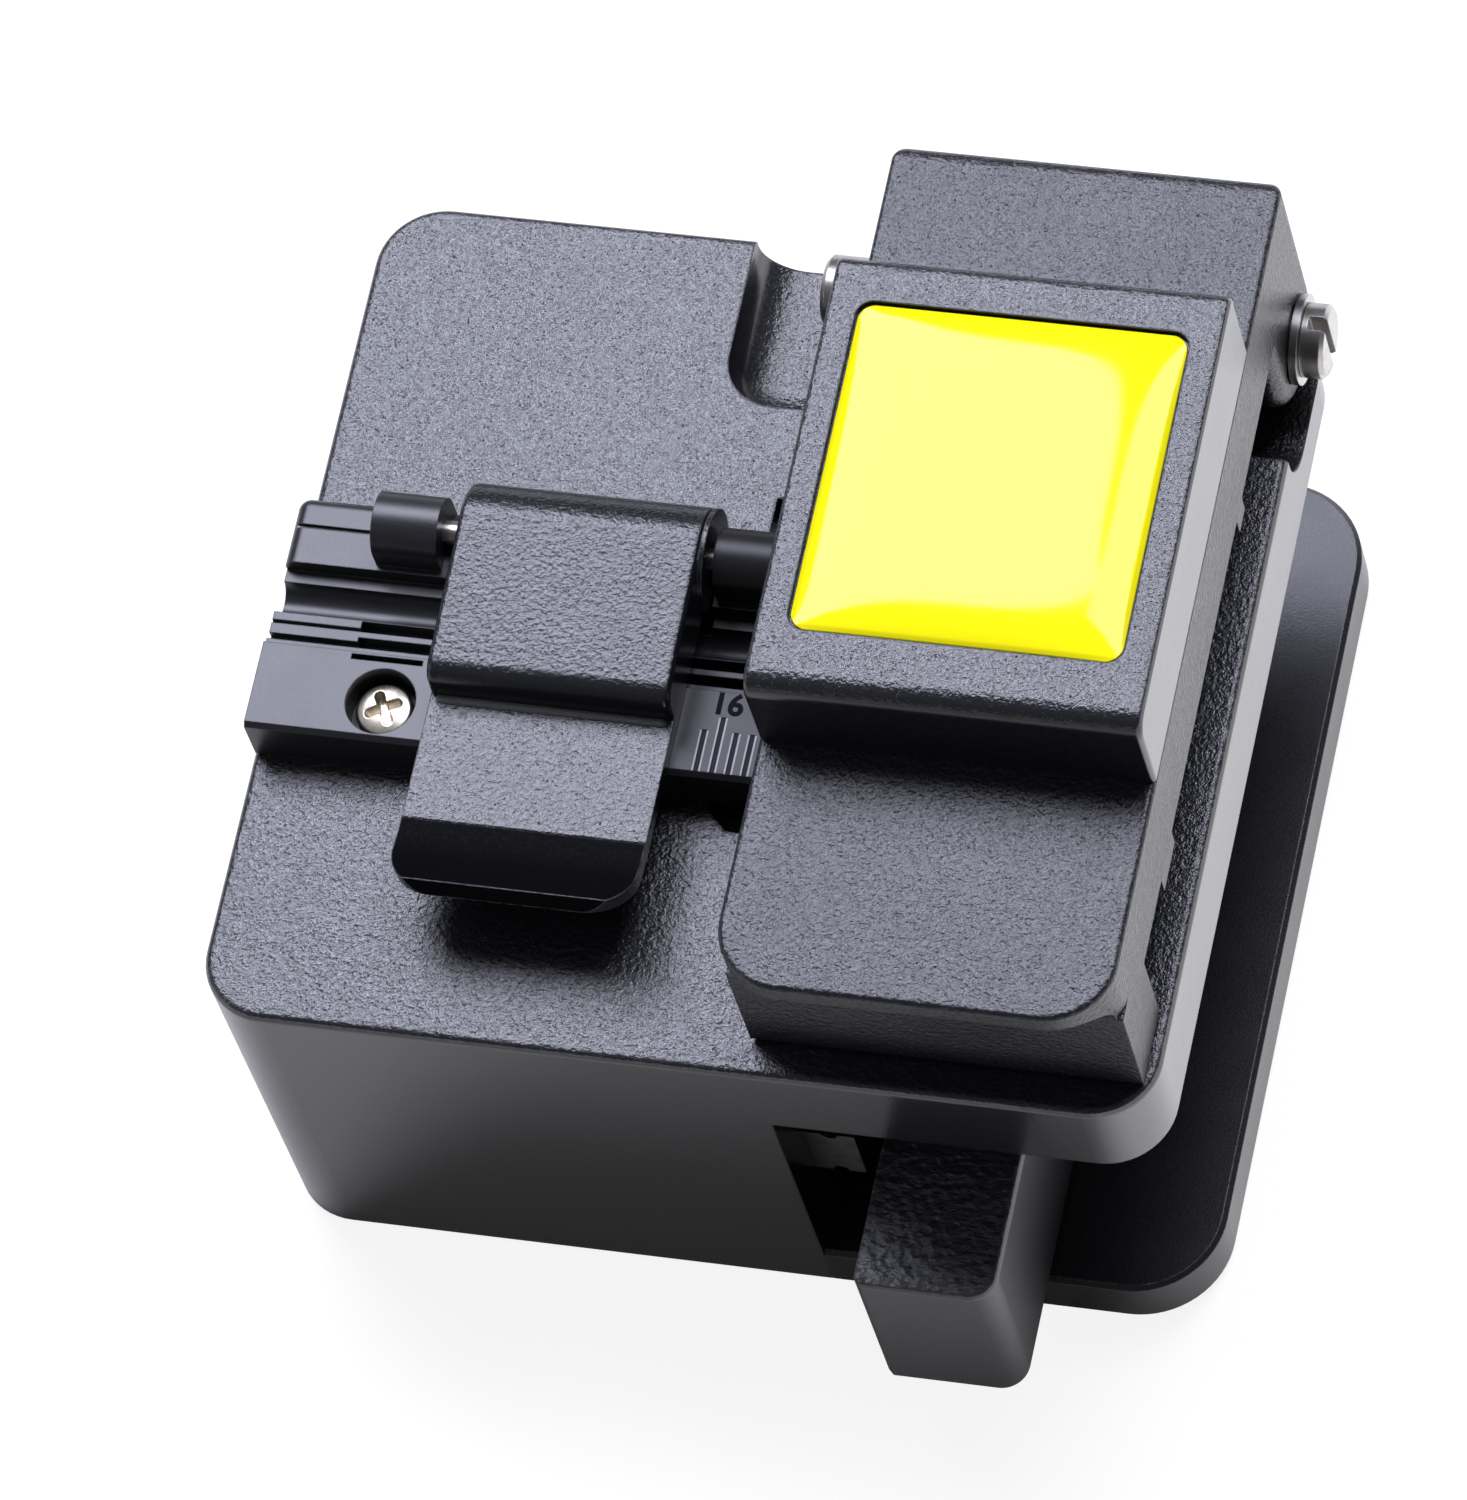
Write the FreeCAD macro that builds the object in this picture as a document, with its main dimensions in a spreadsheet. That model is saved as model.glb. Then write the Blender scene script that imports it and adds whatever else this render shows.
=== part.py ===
import FreeCAD, Part
import math
import os
import re

import Sketcher
from FreeCAD import Vector

# Fibre cleaver: a housing with a hinged lid, a fibre holder with its own small clamp,
# and a carriage under the platform that carries a round blade along a linear guide.
# Every piece is drawn from the housing's left front lower corner: x to the right,
# y to the back, z up, in millimetres. Its placement then puts the origin under the
# middle of the whole cleaver, on the surface that the feet stand on.

dims = {
    # housing
    "bodyWidth": 59.3,
    "bodyDepth": 56,
    "bodyHeight": 29.1,
    "bodyCornerRadius": 4.2,
    "topEdgeRadius": 0.5,
    "platformThickness": 6.8,
    "channelWidth": 24.2,
    # base plate, let into the underside of the housing's left block
    "baseThickness": 3.7,
    "baseOverhang": 0.15,
    "baseCornerRadius": 5.6,
    "baseEdge": 0.3,
    "tongueGap": 1.7,
    "tongueInset": 9,
    # hollow behind the hinge, open to the back and to the right
    "recessWidth": 35.7,
    "recessLength": 11.4,
    "recessDepth": 3.7,
    "recessCornerRadius": 3.2,
    "recessFillet": 2.8,
    # shallow bay under the lid, and the slot that the blade runs in
    "bayReach": 5.9,
    "bayInset": 2.9,
    "bayAhead": 11,
    "bayBehind": 11.6,
    "bayDepth": 2,
    "bayChamfer": 1.4,
    "slotHalfWidth": 3.7,
    "slotEndGap": 0.9,
    # lid hinge
    "hingeFromBack": 3.8,
    "hingeRise": 1.3,
    "hingeShaftRadius": 2.3,
    "hingeShaftTail": 5.3,
    "hingeShaftReach": 1.4,
    "hingeShaftEdge": 0.25,
    "shaftSlotWidth": 0.9,
    "shaftSlotDepth": 1.1,
    "lugRadius": 3.8,
    "lugWidth": 4.6,
    "lugGap": 0.5,
    "circlipThickness": 0.5,
    "circlipRadius": 2.8,
    "circlipGrooveDepth": 0.35,
    "circlipMouth": 2.6,
    # lid lever
    "lidSideInset": 0.7,
    "lidWidth": 24.1,
    "lidRise": 4.1,
    "lidThickness": 6.6,
    "earRadius": 4.3,
    "earWidth": 3,
    "lidOverhang": 0.25,
    "lidEdge": 0.35,
    "lidBackEdge": 1.1,
    "padLipThickness": 1.43,
    "padCornerRadius": 4.2,
    "coveRadius": 3,
    "coveRise": 2.2,
    "legFront": 2.3,
    "legDepth": 4.85,
    "legGap": 0.4,
    # cover block on the lid and its label
    "coverAhead": 11.1,
    "coverBehind": 18.1,
    "coverHeight": 6.9,
    "coverFrontRadius": 1.4,
    "coverBackRadius": 0.8,
    "coverEdge": 0.35,
    "labelWidth": 20.1,
    "labelDepth": 21.8,
    "labelAhead": 6.8,
    "labelCornerRadius": 1.1,
    "labelThickness": 0.95,
    "labelDome": 0.45,
    "labelPocket": 0.5,
    "labelGap": 0.15,
    # clamp frame under the lid
    "frameAhead": 13.6,
    "frameBehind": 12.1,
    "frameInset": 0.3,
    "frameThickness": 1.1,
    "frameFrontRib": 3.2,
    "frameBackRib": 1.6,
    "frameRibHeight": 1.55,
    # fibre line and blade
    "fibreRise": 2.8,
    "fibreFromBack": 29.2,
    "bladeOffset": 1.15,
    "bladeRadius": 7.5,
    "bladeThickness": 1,
    "bladeBevel": 0.8,
    "bladeEdge": 0.1,
    "bladeBelowFibre": 0.1,
    "hubRadius": 2.5,
    "hubFlangeRadius": 3.1,
    "hubFlange": 0.3,
    "axleRadius": 1.2,
    "axleHead": 0.6,
    "axleHeadRadius": 1.9,
    "cheekThickness": 1.35,
    "cheekGap": 0.35,
    "cheekRadius": 2.9,
    "cheekFoot": 5,
    "bladeHolderEnd": 2.5,
    "bladeHolderFoot": 2,
    "bladeRoom": 0.4,
    # carriage and finger knob
    "carriageTravel": 14,
    "carriageOffset": 4.5,
    "carriageWidth": 8.7,
    "carriageBottom": 4.5,
    "carriageShare": 0.84,
    "carriageBehind": 20.2,
    "knobReach": 7.9,
    "knobCornerRadius": 1.7,
    "knobChamfer": 0.5,
    "knobEdge": 0.4,
    # linear guide on the channel's left wall
    "railLift": 1.15,
    "railWidth": 5,
    "railThickness": 3.2,
    "railInset": 3,
    "railTrack": 0.5,
    "guideBlockTrim": 2.5,
    "guideBlockLength": 18,
    "guideBlockAhead": 8.8,
    "guideBlockGap": 1.1,
    # lower clamps on the platform
    "clampSpread": 6.9,
    "lowerClampWidth": 4.2,
    "lowerClampLength": 13,
    "lowerClampEndDrop": 1.6,
    "padThickness": 0.9,
    "padLength": 8,
    "padInset": 0.4,
    # plungers in the lid: two clamp blocks and the anvil
    "plungerTravel": 0.8,
    "plungerWidth": 3.8,
    "anvilWidth": 2,
    "anvilLength": 5,
    "anvilGap": 0.3,
    "plungerFlange": 0.5,
    "plungerFlangeHeight": 1.3,
    "plungerSpringLength": 3.1,
    "springWire": 0.4,
    "springCoilRadius": 1.2,
    "springTurns": 3,
    "padGap": 0.15,
    # fibre holder plate: beds and grooves across it
    "holderLeft": 0.1,
    "holderUnderLid": 0.9,
    "holderAhead": 9.3,
    "holderBehind": 6.6,
    "holderOver": 0.95,
    "holderBackRadius": 0.8,
    "holderFrontEdge": 0.3,
    "grooveRadius": 1.15,
    "bedStep": 2,
    "bedLow": 1.15,
    "bedHigh": 0.65,
    "fineGrooveOffset": 1.8,
    "fineGrooveHalf": 0.12,
    "fineGrooveDepth": 0.3,
    "ledgeBack": 2.6,
    "ledgeFront": 3.1,
    "ledgeDrop": 1.25,
    "ridgeFront": 3.55,
    "ridgeDrop": 0.45,
    "jacketSlotLeft": 5.7,
    "jacketSlotWidth": 0.7,
    "jacketSlotDepth": 1.85,
    "jacketSlotOffset": 1.2,
    "jacketSlotPitch": 1.1,
    "slitAhead": 3.9,
    "slitLeft": 5.75,
    "slitLength": 4.5,
    "slitWidth": 0.35,
    "slitDepth": 1.4,
    "scribeWidth": 0.25,
    "scribeDepth": 0.25,
    # holder hinge and clamp
    "clampPinBehind": 4.5,
    "clampPinRise": 2.1,
    "clampPinRadius": 0.75,
    "knuckleRadius": 2.1,
    "knuckleLeftGap": 1.5,
    "knuckleRightGap": 0.65,
    "knuckleLength": 4.15,
    "clampLeft": 11.55,
    "clampEndGap": 8.65,
    "clampLobeRadius": 3.2,
    "clampLobeReach": 0.3,
    "clampTopFall": 0.6,
    "clampStepAhead": 6.5,
    "clampStepRadius": 1.4,
    "clampPlateAhead": 14.7,
    "clampPlateThickness": 1.05,
    "clampLift": 0.1,
    "lipRadius": 8.5,
    "lipReach": 4.6,
    "lipCornerRadius": 3,
    "clampEdge": 0.4,
    "clampPadInset": 2,
    "clampPadAhead": 3,
    "clampPadBehind": 1.3,
    "clampPadDrop": 0.4,
    "clampPadThickness": 1.5,
    "troughGap": 0.35,
    # screws: head radius, head height and shank radius of three sizes
    "bigHead": 1.8,
    "bigHeadHeight": 1.5,
    "bigShank": 1.2,
    "midHead": 1.5,
    "midHeadHeight": 1.2,
    "midShank": 0.9,
    "smallHead": 1.1,
    "smallHeadHeight": 0.8,
    "smallShank": 0.6,
    "headGap": 0.2,
    "headSink": 0.2,
    "holderScrewAhead": 6.7,
    "holderScrewLeft": 8.2,
    "holderScrewInset": 3.35,
    "holderScrewLength": 5,
    "holderPocketRadius": 2.2,
    "holderPocketDepth": 2.3,
    "baseScrewEdge": 5,
    "baseScrewInset": 14,
    "baseScrewLength": 6,
    "railScrewPitch": 20,
    "railScrewLength": 6,
    "carriageScrewPitch": 9,
    "carriageScrewSink": 5.5,
    "carriageScrewLength": 4.5,
    "cheekScrewGap": 1.1,
    "cheekScrewLength": 4.5,
    "clampScrewOffset": 5.25,
    "clampScrewLength": 4,
    "frameScrewAhead": 7.5,
    "frameScrewBehind": 7.8,
    "frameScrewLength": 3.5,
    "coverScrewInset": 3.1,
    "coverScrewAhead": 8.2,
    "coverScrewBehind": 15.2,
    "coverScrewSink": 3,
    "coverScrewLength": 7,
    # magnets and feet
    "magnetRadius": 2,
    "magnetHeight": 2,
    "smallMagnetRadius": 1.3,
    "smallMagnetHeight": 0.7,
    "holderMagnetHeight": 1.5,
    "holderMagnetAhead": 7.6,
    "footRadius": 3.8,
    "footHeight": 1.6,
    "footStand": 0.8,
    "footInset": 7.5,
    "footEdge": 0.3,
    # clearances
    "fitGap": 0.03,
    "runGap": 0.06,
    "slideGap": 0.1,
    "past": 1,
}

# places that follow from the sizes, kept in the same sheet
places = {
    "channelLeft": "bodyWidth - channelWidth",
    "platformUnder": "bodyHeight - platformThickness",
    "baseRight": "bodyWidth + baseOverhang",
    "tongueLeft": "footInset + footRadius + tongueGap",
    "recessLeft": "bodyWidth - recessWidth",
    "recessFront": "bodyDepth - recessLength",
    "recessFloor": "bodyHeight - recessDepth",
    "hingeLine": "bodyDepth - hingeFromBack",
    "hingeHeight": "bodyHeight + hingeRise",
    "fibreLine": "bodyDepth - fibreFromBack",
    "fibreHeight": "bodyHeight + fibreRise",
    "lidRight": "bodyWidth - lidSideInset",
    "lidLeft": "lidRight - lidWidth",
    "lidMiddle": "lidRight - lidWidth/2",
    "lidBottom": "fibreHeight + lidRise",
    "lidTop": "lidBottom + lidThickness",
    "lidBack": "hingeLine + earRadius",
    "coveBottom": "lidBottom + coveRise",
    "coverFront": "fibreLine - coverAhead",
    "coverBack": "fibreLine + coverBehind",
    "coverTop": "lidTop + coverHeight",
    "labelFront": "fibreLine - labelAhead",
    "frameFront": "fibreLine - frameAhead",
    "frameBack": "fibreLine + frameBehind",
    "frameUnder": "lidBottom - frameThickness",
    "bladeCentre": "lidMiddle - bladeOffset",
    "bladeHeight": "fibreHeight - bladeBelowFibre - bladeRadius",
    "bladeLine": "fibreLine - carriageTravel/2",
    "bladeHolderLength": "2*(bladeRadius + bladeHolderEnd)",
    "cheekScrewOffset": "bladeRadius + cheekScrewGap",
    "cheekInner": "bladeThickness/2 + hubFlange + cheekGap",
    "cheekOuter": "cheekInner + cheekThickness",
    "bayLeft": "lidLeft - bayReach",
    "bayRight": "bodyWidth - bayInset",
    "bayFront": "fibreLine - bayAhead",
    "bayBack": "fibreLine + bayBehind",
    "bayFloor": "bodyHeight - bayDepth",
    "hingeShaftLeft": "lidLeft - hingeShaftTail",
    "carriageLeft": "bladeCentre - carriageOffset",
    "carriageRight": "carriageLeft + carriageWidth",
    "carriageTop": "bladeHeight - bladeRadius*carriageShare",
    "carriageBack": "bladeLine + carriageBehind",
    "railFace": "channelLeft + railThickness",
    "railHeight": "carriageBottom/2 + carriageTop/2 + railLift",
    "guideBlockWidth": "carriageTop - carriageBottom - guideBlockTrim",
    "guideBlockFront": "bladeLine - guideBlockAhead",
    "holderRight": "lidLeft + holderUnderLid",
    "holderFront": "fibreLine - holderAhead",
    "holderBack": "fibreLine + holderBehind",
    "holderTop": "fibreHeight + holderOver",
    "slitLine": "fibreLine - slitAhead",
    "clampPinLine": "fibreLine + clampPinBehind",
    "clampPinHeight": "fibreHeight + clampPinRise",
    "clampRight": "holderRight - clampEndGap",
    "clampStepLine": "fibreLine - clampStepAhead",
    "clampPlateEnd": "fibreLine - clampPlateAhead",
    "clampPadFront": "fibreLine - clampPadAhead",
    "clampPadBack": "fibreLine + clampPadBehind",
    "clampBottom": "holderTop + clampLift",
    "clampTop": "clampPinHeight + clampLobeRadius",
    "plateTop": "clampBottom + clampPlateThickness",
    "knuckleLeft": "clampLeft - knuckleLeftGap - knuckleLength",
    "knuckleRight": "clampRight + knuckleRightGap",
    "holderScrewLine": "fibreLine - holderScrewAhead",
    "holderScrewRight": "clampRight - holderScrewInset",
    "holderMagnetColumn": "holderScrewLeft/2 + holderScrewRight/2",
    "holderMagnetLine": "fibreLine - holderMagnetAhead",
    "baseScrewLeft": "tongueLeft + baseScrewEdge",
    "baseScrewRight": "channelLeft - baseScrewEdge",
    "frameScrewFront": "fibreLine - frameScrewAhead",
    "frameScrewBack": "fibreLine + frameScrewBehind",
    "coverScrewFront": "fibreLine - coverScrewAhead",
    "coverScrewBack": "fibreLine + coverScrewBehind",
    "coverScrewSeat": "lidBottom + coverScrewSink",
    "padBottom": "fibreHeight - padThickness",
    "springFoot": "lidBottom + plungerFlangeHeight",
    "springHead": "springFoot + plungerSpringLength",
}

doc = FreeCAD.newDocument("FibreCleaver")
sheet = doc.addObject("Spreadsheet::Sheet", "dims")
for row, (alias, number) in enumerate(dims.items(), 1):
    sheet.set(f"A{row}", alias)
    sheet.set(f"B{row}", str(number))
    sheet.setAlias(f"B{row}", alias)
for row, (alias, formula) in enumerate(places.items(), 1):
    sheet.set(f"C{row}", alias)
    sheet.setAlias(f"D{row}", alias)
    sheet.set(f"D{row}", f"={formula}")
doc.recompute()
named = {**dims, **places}


def full(text):
    """The expression with every size name led by the sheet's name."""
    return re.sub(r"[A-Za-z]+", lambda word: f"dims.{word[0]}" if word[0] in named else word[0], str(text))


def value(text):
    return float(sheet.evalExpression(full(text)))


def spot(*place):
    return Vector(*(value(text) for text in place))


clampColumns = {"left": "(bladeCentre - clampSpread)", "right": "(bladeCentre + clampSpread)"}
bigScrew = ("bigHead", "bigHeadHeight", "bigShank")
midScrew = ("midHead", "midHeadHeight", "midShank")
smallScrew = ("smallHead", "smallHeadHeight", "smallShank")


def newBody(label):
    """An empty body, its corner frame moved so that the cleaver stands over the origin."""
    body = doc.addObject("PartDesign::Body", label)
    body.Label = label
    body.setExpression("Placement.Base.x", full("-(bodyWidth + hingeShaftReach)/2"))
    body.setExpression("Placement.Base.y", full("(knobReach - lidBack)/2"))
    body.setExpression("Placement.Base.z", full("footStand"))
    return body


def newSketch(body, plane, right="0", up="0", depth="0"):
    """A sketch on an origin plane, its own origin moved right, up and along the plane's axis."""
    sketch = body.newObject("Sketcher::SketchObject", f"{body.Name}Sketch")
    face = next(item for item in body.Origin.OriginFeatures if item.Role == f"{plane}_Plane")
    sketch.AttachmentSupport = [(face, "")]
    sketch.MapMode = "FlatFace"
    along = f"-({depth})" if plane == "XZ" else depth
    for axis, text in zip("xyz", (right, up, along)):
        sketch.setExpression(f"AttachmentOffset.Base.{axis}", full(text))
    return sketch


def hold(sketch, kind, place, text):
    """A dimension of the sketch bound to an expression."""
    index = sketch.addConstraint(Sketcher.Constraint(kind, *place, value(text)))
    sketch.setExpression(f"Constraints[{index}]", full(text))


def arcBetween(start, end, radius, turn):
    """The arc of up to half a turn from start to end; turn is 1 anticlockwise, -1 clockwise."""
    chord = end - start
    rise = math.sqrt(max(radius ** 2 - (chord.Length / 2) ** 2, 0))
    across = Vector(-chord.y, chord.x, 0).normalize()
    centre = (start + end) / 2 + across * rise * turn
    ends = (start, end) if turn > 0 else (end, start)
    first, last = (math.atan2(point.y - centre.y, point.x - centre.x) for point in ends)
    if last < first:
        last += 2 * math.pi
    return Part.ArcOfCircle(Part.Circle(centre, Vector(0, 0, 1), radius), first, last)


def outline(sketch, corners):
    """A closed outline. A corner is (right, up), with (radius, turn) added when an arc leaves it."""
    places = [spot(corner[0], corner[1], "0") for corner in corners]
    base = sketch.GeometryCount
    ends = []
    for index, corner in enumerate(corners):
        start = places[index]
        end = places[(index + 1) % len(corners)]
        if len(corner) == 2:
            sketch.addGeometry(Part.LineSegment(start, end))
            ends.append((1, 2))
        else:
            sketch.addGeometry(arcBetween(start, end, value(corner[2]), corner[3]))
            ends.append((1, 2) if corner[3] > 0 else (2, 1))
    for index, corner in enumerate(corners):
        following = (index + 1) % len(corners)
        joint = (base + index, ends[index][1], base + following, ends[following][0])
        sketch.addConstraint(Sketcher.Constraint("Coincident", *joint))
        hold(sketch, "DistanceX", (-1, 1, base + index, ends[index][0]), corner[0])
        hold(sketch, "DistanceY", (-1, 1, base + index, ends[index][0]), corner[1])
        if len(corner) == 4:
            chord = places[following] - places[index]
            if abs(chord.Length - 2 * value(corner[2])) > 1e-6:
                hold(sketch, "Radius", (base + index,), corner[2])
            # a half turn is held by its centre, level with its ends
            elif abs(chord.x) > abs(chord.y):
                hold(sketch, "DistanceY", (-1, 1, base + index, 3), corner[1])
            else:
                hold(sketch, "DistanceX", (-1, 1, base + index, 3), corner[0])


def box(left, right, low, high):
    return [(left, low), (right, low), (right, high), (left, high)]


def roundedBox(left, right, low, high, radius):
    """A rectangle with four round corners, run anticlockwise."""
    return [
        (f"{left} + {radius}", low),
        (f"{right} - {radius}", low, radius, 1),
        (right, f"{low} + {radius}"),
        (right, f"{high} - {radius}", radius, 1),
        (f"{right} - {radius}", high),
        (f"{left} + {radius}", high, radius, 1),
        (left, f"{high} - {radius}"),
        (left, f"{low} + {radius}", radius, 1),
    ]


def disc(right, up, radius):
    return ("disc", right, up, radius)


def ring(right, up, radius, count):
    """A regular polygon with its corners on a circle."""
    turns = [math.tau * step / count for step in range(count)]
    return [
        (f"{right} + {math.cos(turn):.6f}*{radius}", f"{up} + {math.sin(turn):.6f}*{radius}")
        for turn in turns
    ]


def draw(sketch, shapes):
    for shape in shapes:
        if shape[0] == "disc":
            circle = Part.Circle(spot(shape[1], shape[2], "0"), Vector(0, 0, 1), value(shape[3]))
            index = sketch.addGeometry(circle)
            hold(sketch, "DistanceX", (-1, 1, index, 3), shape[1])
            hold(sketch, "DistanceY", (-1, 1, index, 3), shape[2])
            hold(sketch, "Radius", (index,), shape[3])
        else:
            outline(sketch, shape)


def prism(body, plane, start, end, *shapes):
    """Material between two depths along the plane's axis."""
    sketch = newSketch(body, plane, depth=start)
    draw(sketch, shapes)
    pad = body.newObject("PartDesign::Pad", f"{body.Name}Pad")
    pad.Profile = sketch
    pad.setExpression("Length", full(f"({end}) - ({start})"))
    pad.Reversed = plane == "XZ"
    return pad


def cut(body, plane, start, end, *shapes):
    """A cut between two depths along the plane's axis."""
    sketch = newSketch(body, plane, depth=start)
    draw(sketch, shapes)
    pocket = body.newObject("PartDesign::Pocket", f"{body.Name}Pocket")
    pocket.Profile = sketch
    pocket.setExpression("Length", full(f"({end}) - ({start})"))
    pocket.Reversed = plane != "XZ"
    return pocket


def turned(body, plane, origin, corners, axis="V_Axis"):
    """A solid of revolution about the axis of a sketch whose origin is moved to a place."""
    sketch = newSketch(body, plane, *origin)
    outline(sketch, corners)
    lathe = body.newObject("PartDesign::Revolution", f"{body.Name}Turned")
    lathe.Profile = sketch
    lathe.ReferenceAxis = (sketch, [axis])
    lathe.Angle = 360
    return lathe


def soften(body, kind, size, *spots):
    """A fillet or a chamfer on the edges that pass through the given places."""
    doc.recompute()
    base = body.Tip
    names = set()
    for place in spots:
        point = Part.Vertex(spot(*place))
        reach = [edge.distToShape(point)[0] for edge in base.Shape.Edges]
        names.add(f"Edge{reach.index(min(reach)) + 1}")
    feature = body.newObject(f"PartDesign::{kind}", f"{body.Name}{kind}")
    feature.Base = (base, sorted(names))
    feature.setExpression("Radius" if kind == "Fillet" else "Size", full(size))


def screws(label, plane, places, seat, headSide, size, length):
    """Screws of one size in a row or grid; headSide is 1 when the heads lie beyond the seat."""
    head, height, shank = size
    body = newBody(label)
    shanks = [disc(*place, shank) for place in places]
    heads = [disc(*place, head) for place in places]
    if headSide > 0:
        prism(body, plane, seat, f"{seat} + {height}", *heads)
        prism(body, plane, f"{seat} - {length}", seat, *shanks)
    else:
        prism(body, plane, f"{seat} - {height}", seat, *heads)
        prism(body, plane, seat, f"{seat} + {length}", *shanks)
    return body


# ------------------------------------------------------------------ housing

baseScrews = [
    (column, line)
    for column in ("baseScrewLeft", "baseScrewRight")
    for line in ("baseScrewInset", "bodyDepth - baseScrewInset")
]
railScrews = [(f"bodyDepth/2 + {step}*railScrewPitch", "railHeight") for step in (-1, 0, 1)]
holderScrews = [(column, "holderScrewLine") for column in ("holderScrewLeft", "holderScrewRight")]
clampScrews = [
    (column, f"fibreLine + {side}*clampScrewOffset")
    for column in clampColumns.values()
    for side in (-1, 1)
]
feet = {
    "foot_front_left": ("footInset", "footInset"),
    "foot_front_right": ("bodyWidth - footInset", "footInset"),
    "foot_back_left": ("footInset", "bodyDepth - footInset"),
    "foot_back_right": ("bodyWidth - footInset", "bodyDepth - footInset"),
}
footSeat = "(footHeight - footStand)"

housing = newBody("housing")
prism(housing, "XY", "0", "bodyHeight", roundedBox("0", "bodyWidth", "0", "bodyDepth", "bodyCornerRadius"))
soften(housing, "Fillet", "topEdgeRadius", ("bodyWidth/2", "0", "bodyHeight"))
# channel under the platform, open to the right, the front and the back
cut(
    housing, "XZ", "-past", "bodyDepth + past",
    box("channelLeft", "bodyWidth + past", "-past", "platformUnder"),
)
# seat of the base plate's tongue
cut(
    housing, "XY", "-past", "baseThickness",
    box(
        "tongueLeft - fitGap", "channelLeft + past",
        "tongueInset - fitGap", "bodyDepth - tongueInset + fitGap",
    ),
)
# hollow behind the hinge, with a round inner corner and a filleted foot
cut(housing, "XY", "recessFloor", "bodyHeight + past", [
    ("recessLeft", "bodyDepth + past"),
    ("recessLeft", "recessFront + recessCornerRadius", "recessCornerRadius", 1),
    ("recessLeft + recessCornerRadius", "recessFront"),
    ("bodyWidth + past", "recessFront"),
    ("bodyWidth + past", "bodyDepth + past"),
])
soften(housing, "Fillet", "recessFillet", ("lidMiddle", "recessFront", "recessFloor"))
# two lugs that carry the hinge shaft
lugLeft = "(lidLeft + earWidth + lugGap)"
lugRight = "(lidRight - earWidth - lugGap)"
for start, end in ((lugLeft, f"{lugLeft} + lugWidth"), (f"{lugRight} - lugWidth", lugRight)):
    prism(housing, "YZ", start, end, [
        ("hingeLine - lugRadius", "recessFloor - recessDepth/2"),
        ("hingeLine + lugRadius", "recessFloor - recessDepth/2"),
        ("hingeLine + lugRadius", "hingeHeight", "lugRadius", 1),
        ("hingeLine - lugRadius", "hingeHeight"),
    ])
cut(housing, "YZ", lugLeft, lugRight, disc("hingeLine", "hingeHeight", "hingeShaftRadius + fitGap"))
# bay under the lid with one cut corner
cut(housing, "XY", "bayFloor", "bodyHeight + past", [
    ("bayLeft + bayChamfer", "bayFront"),
    ("bayRight", "bayFront"),
    ("bayRight", "bayBack"),
    ("bayLeft", "bayBack"),
    ("bayLeft", "bayFront + bayChamfer"),
])
# slot for the blade, as long as the blade and its travel
cut(housing, "XY", "platformUnder - past", "bodyHeight + past", box(
    "bladeCentre - slotHalfWidth",
    "bladeCentre + slotHalfWidth",
    "bladeLine - bladeRadius - slotEndGap",
    "bladeLine + carriageTravel + bladeRadius + slotEndGap",
))
# holes for the screws, seats for the magnet and the two left feet
cut(
    housing, "XY", "baseThickness", "baseScrewLength + bigHeadHeight + headSink + past",
    *[disc(*place, "bigShank + fitGap") for place in baseScrews],
)
cut(
    housing, "YZ", "railFace - midHeadHeight - headSink - railScrewLength - past", "channelLeft",
    *[disc(*place, "midShank + fitGap") for place in railScrews],
)
cut(
    housing, "XY", "holderTop - holderPocketDepth - holderScrewLength - past", "bodyHeight",
    *[disc(*place, "bigShank + fitGap") for place in holderScrews],
)
cut(
    housing, "XY", "padBottom - lowerClampEndDrop - clampScrewLength", "bayFloor",
    *[disc(*place, "smallShank + fitGap") for place in clampScrews],
)
magnetPlace = ("lidMiddle", "legFront + legDepth/2")
cut(housing, "XY", "bodyHeight - magnetHeight", "bodyHeight", disc(*magnetPlace, "magnetRadius + fitGap"))
for name in ("foot_front_left", "foot_back_left"):
    cut(housing, "XY", "0", footSeat, disc(*feet[name], "footRadius + fitGap"))

housingMagnet = newBody("housing_magnet")
prism(housingMagnet, "XY", "bodyHeight - magnetHeight", "bodyHeight", disc(*magnetPlace, "magnetRadius"))

# ------------------------------------------------------------------ base plate and feet

basePlate = newBody("base_plate")
plateLeft = "(channelLeft + fitGap)"
prism(basePlate, "XY", "0", "baseThickness", [
    ("tongueLeft", "tongueInset"),
    (plateLeft, "tongueInset"),
    (plateLeft, "0"),
    ("baseRight - baseCornerRadius", "0", "baseCornerRadius", 1),
    ("baseRight", "baseCornerRadius"),
    ("baseRight", "bodyDepth - baseCornerRadius", "baseCornerRadius", 1),
    ("baseRight - baseCornerRadius", "bodyDepth"),
    (plateLeft, "bodyDepth"),
    (plateLeft, "bodyDepth - tongueInset"),
    ("tongueLeft", "bodyDepth - tongueInset"),
])
soften(basePlate, "Chamfer", "baseEdge", ("baseRight", "bodyDepth/2", "baseThickness"))
cut(basePlate, "XY", "0", "baseThickness", *[disc(*place, "bigShank + fitGap") for place in baseScrews])
cut(
    basePlate, "XY", "0", "bigHeadHeight + headSink",
    *[disc(*place, "bigHead + headGap") for place in baseScrews],
)
for name in ("foot_front_right", "foot_back_right"):
    cut(basePlate, "XY", "0", footSeat, disc(*feet[name], "footRadius + fitGap"))
screws("base_screws", "XY", baseScrews, "(bigHeadHeight + headSink)", -1, bigScrew, "baseScrewLength")

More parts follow.
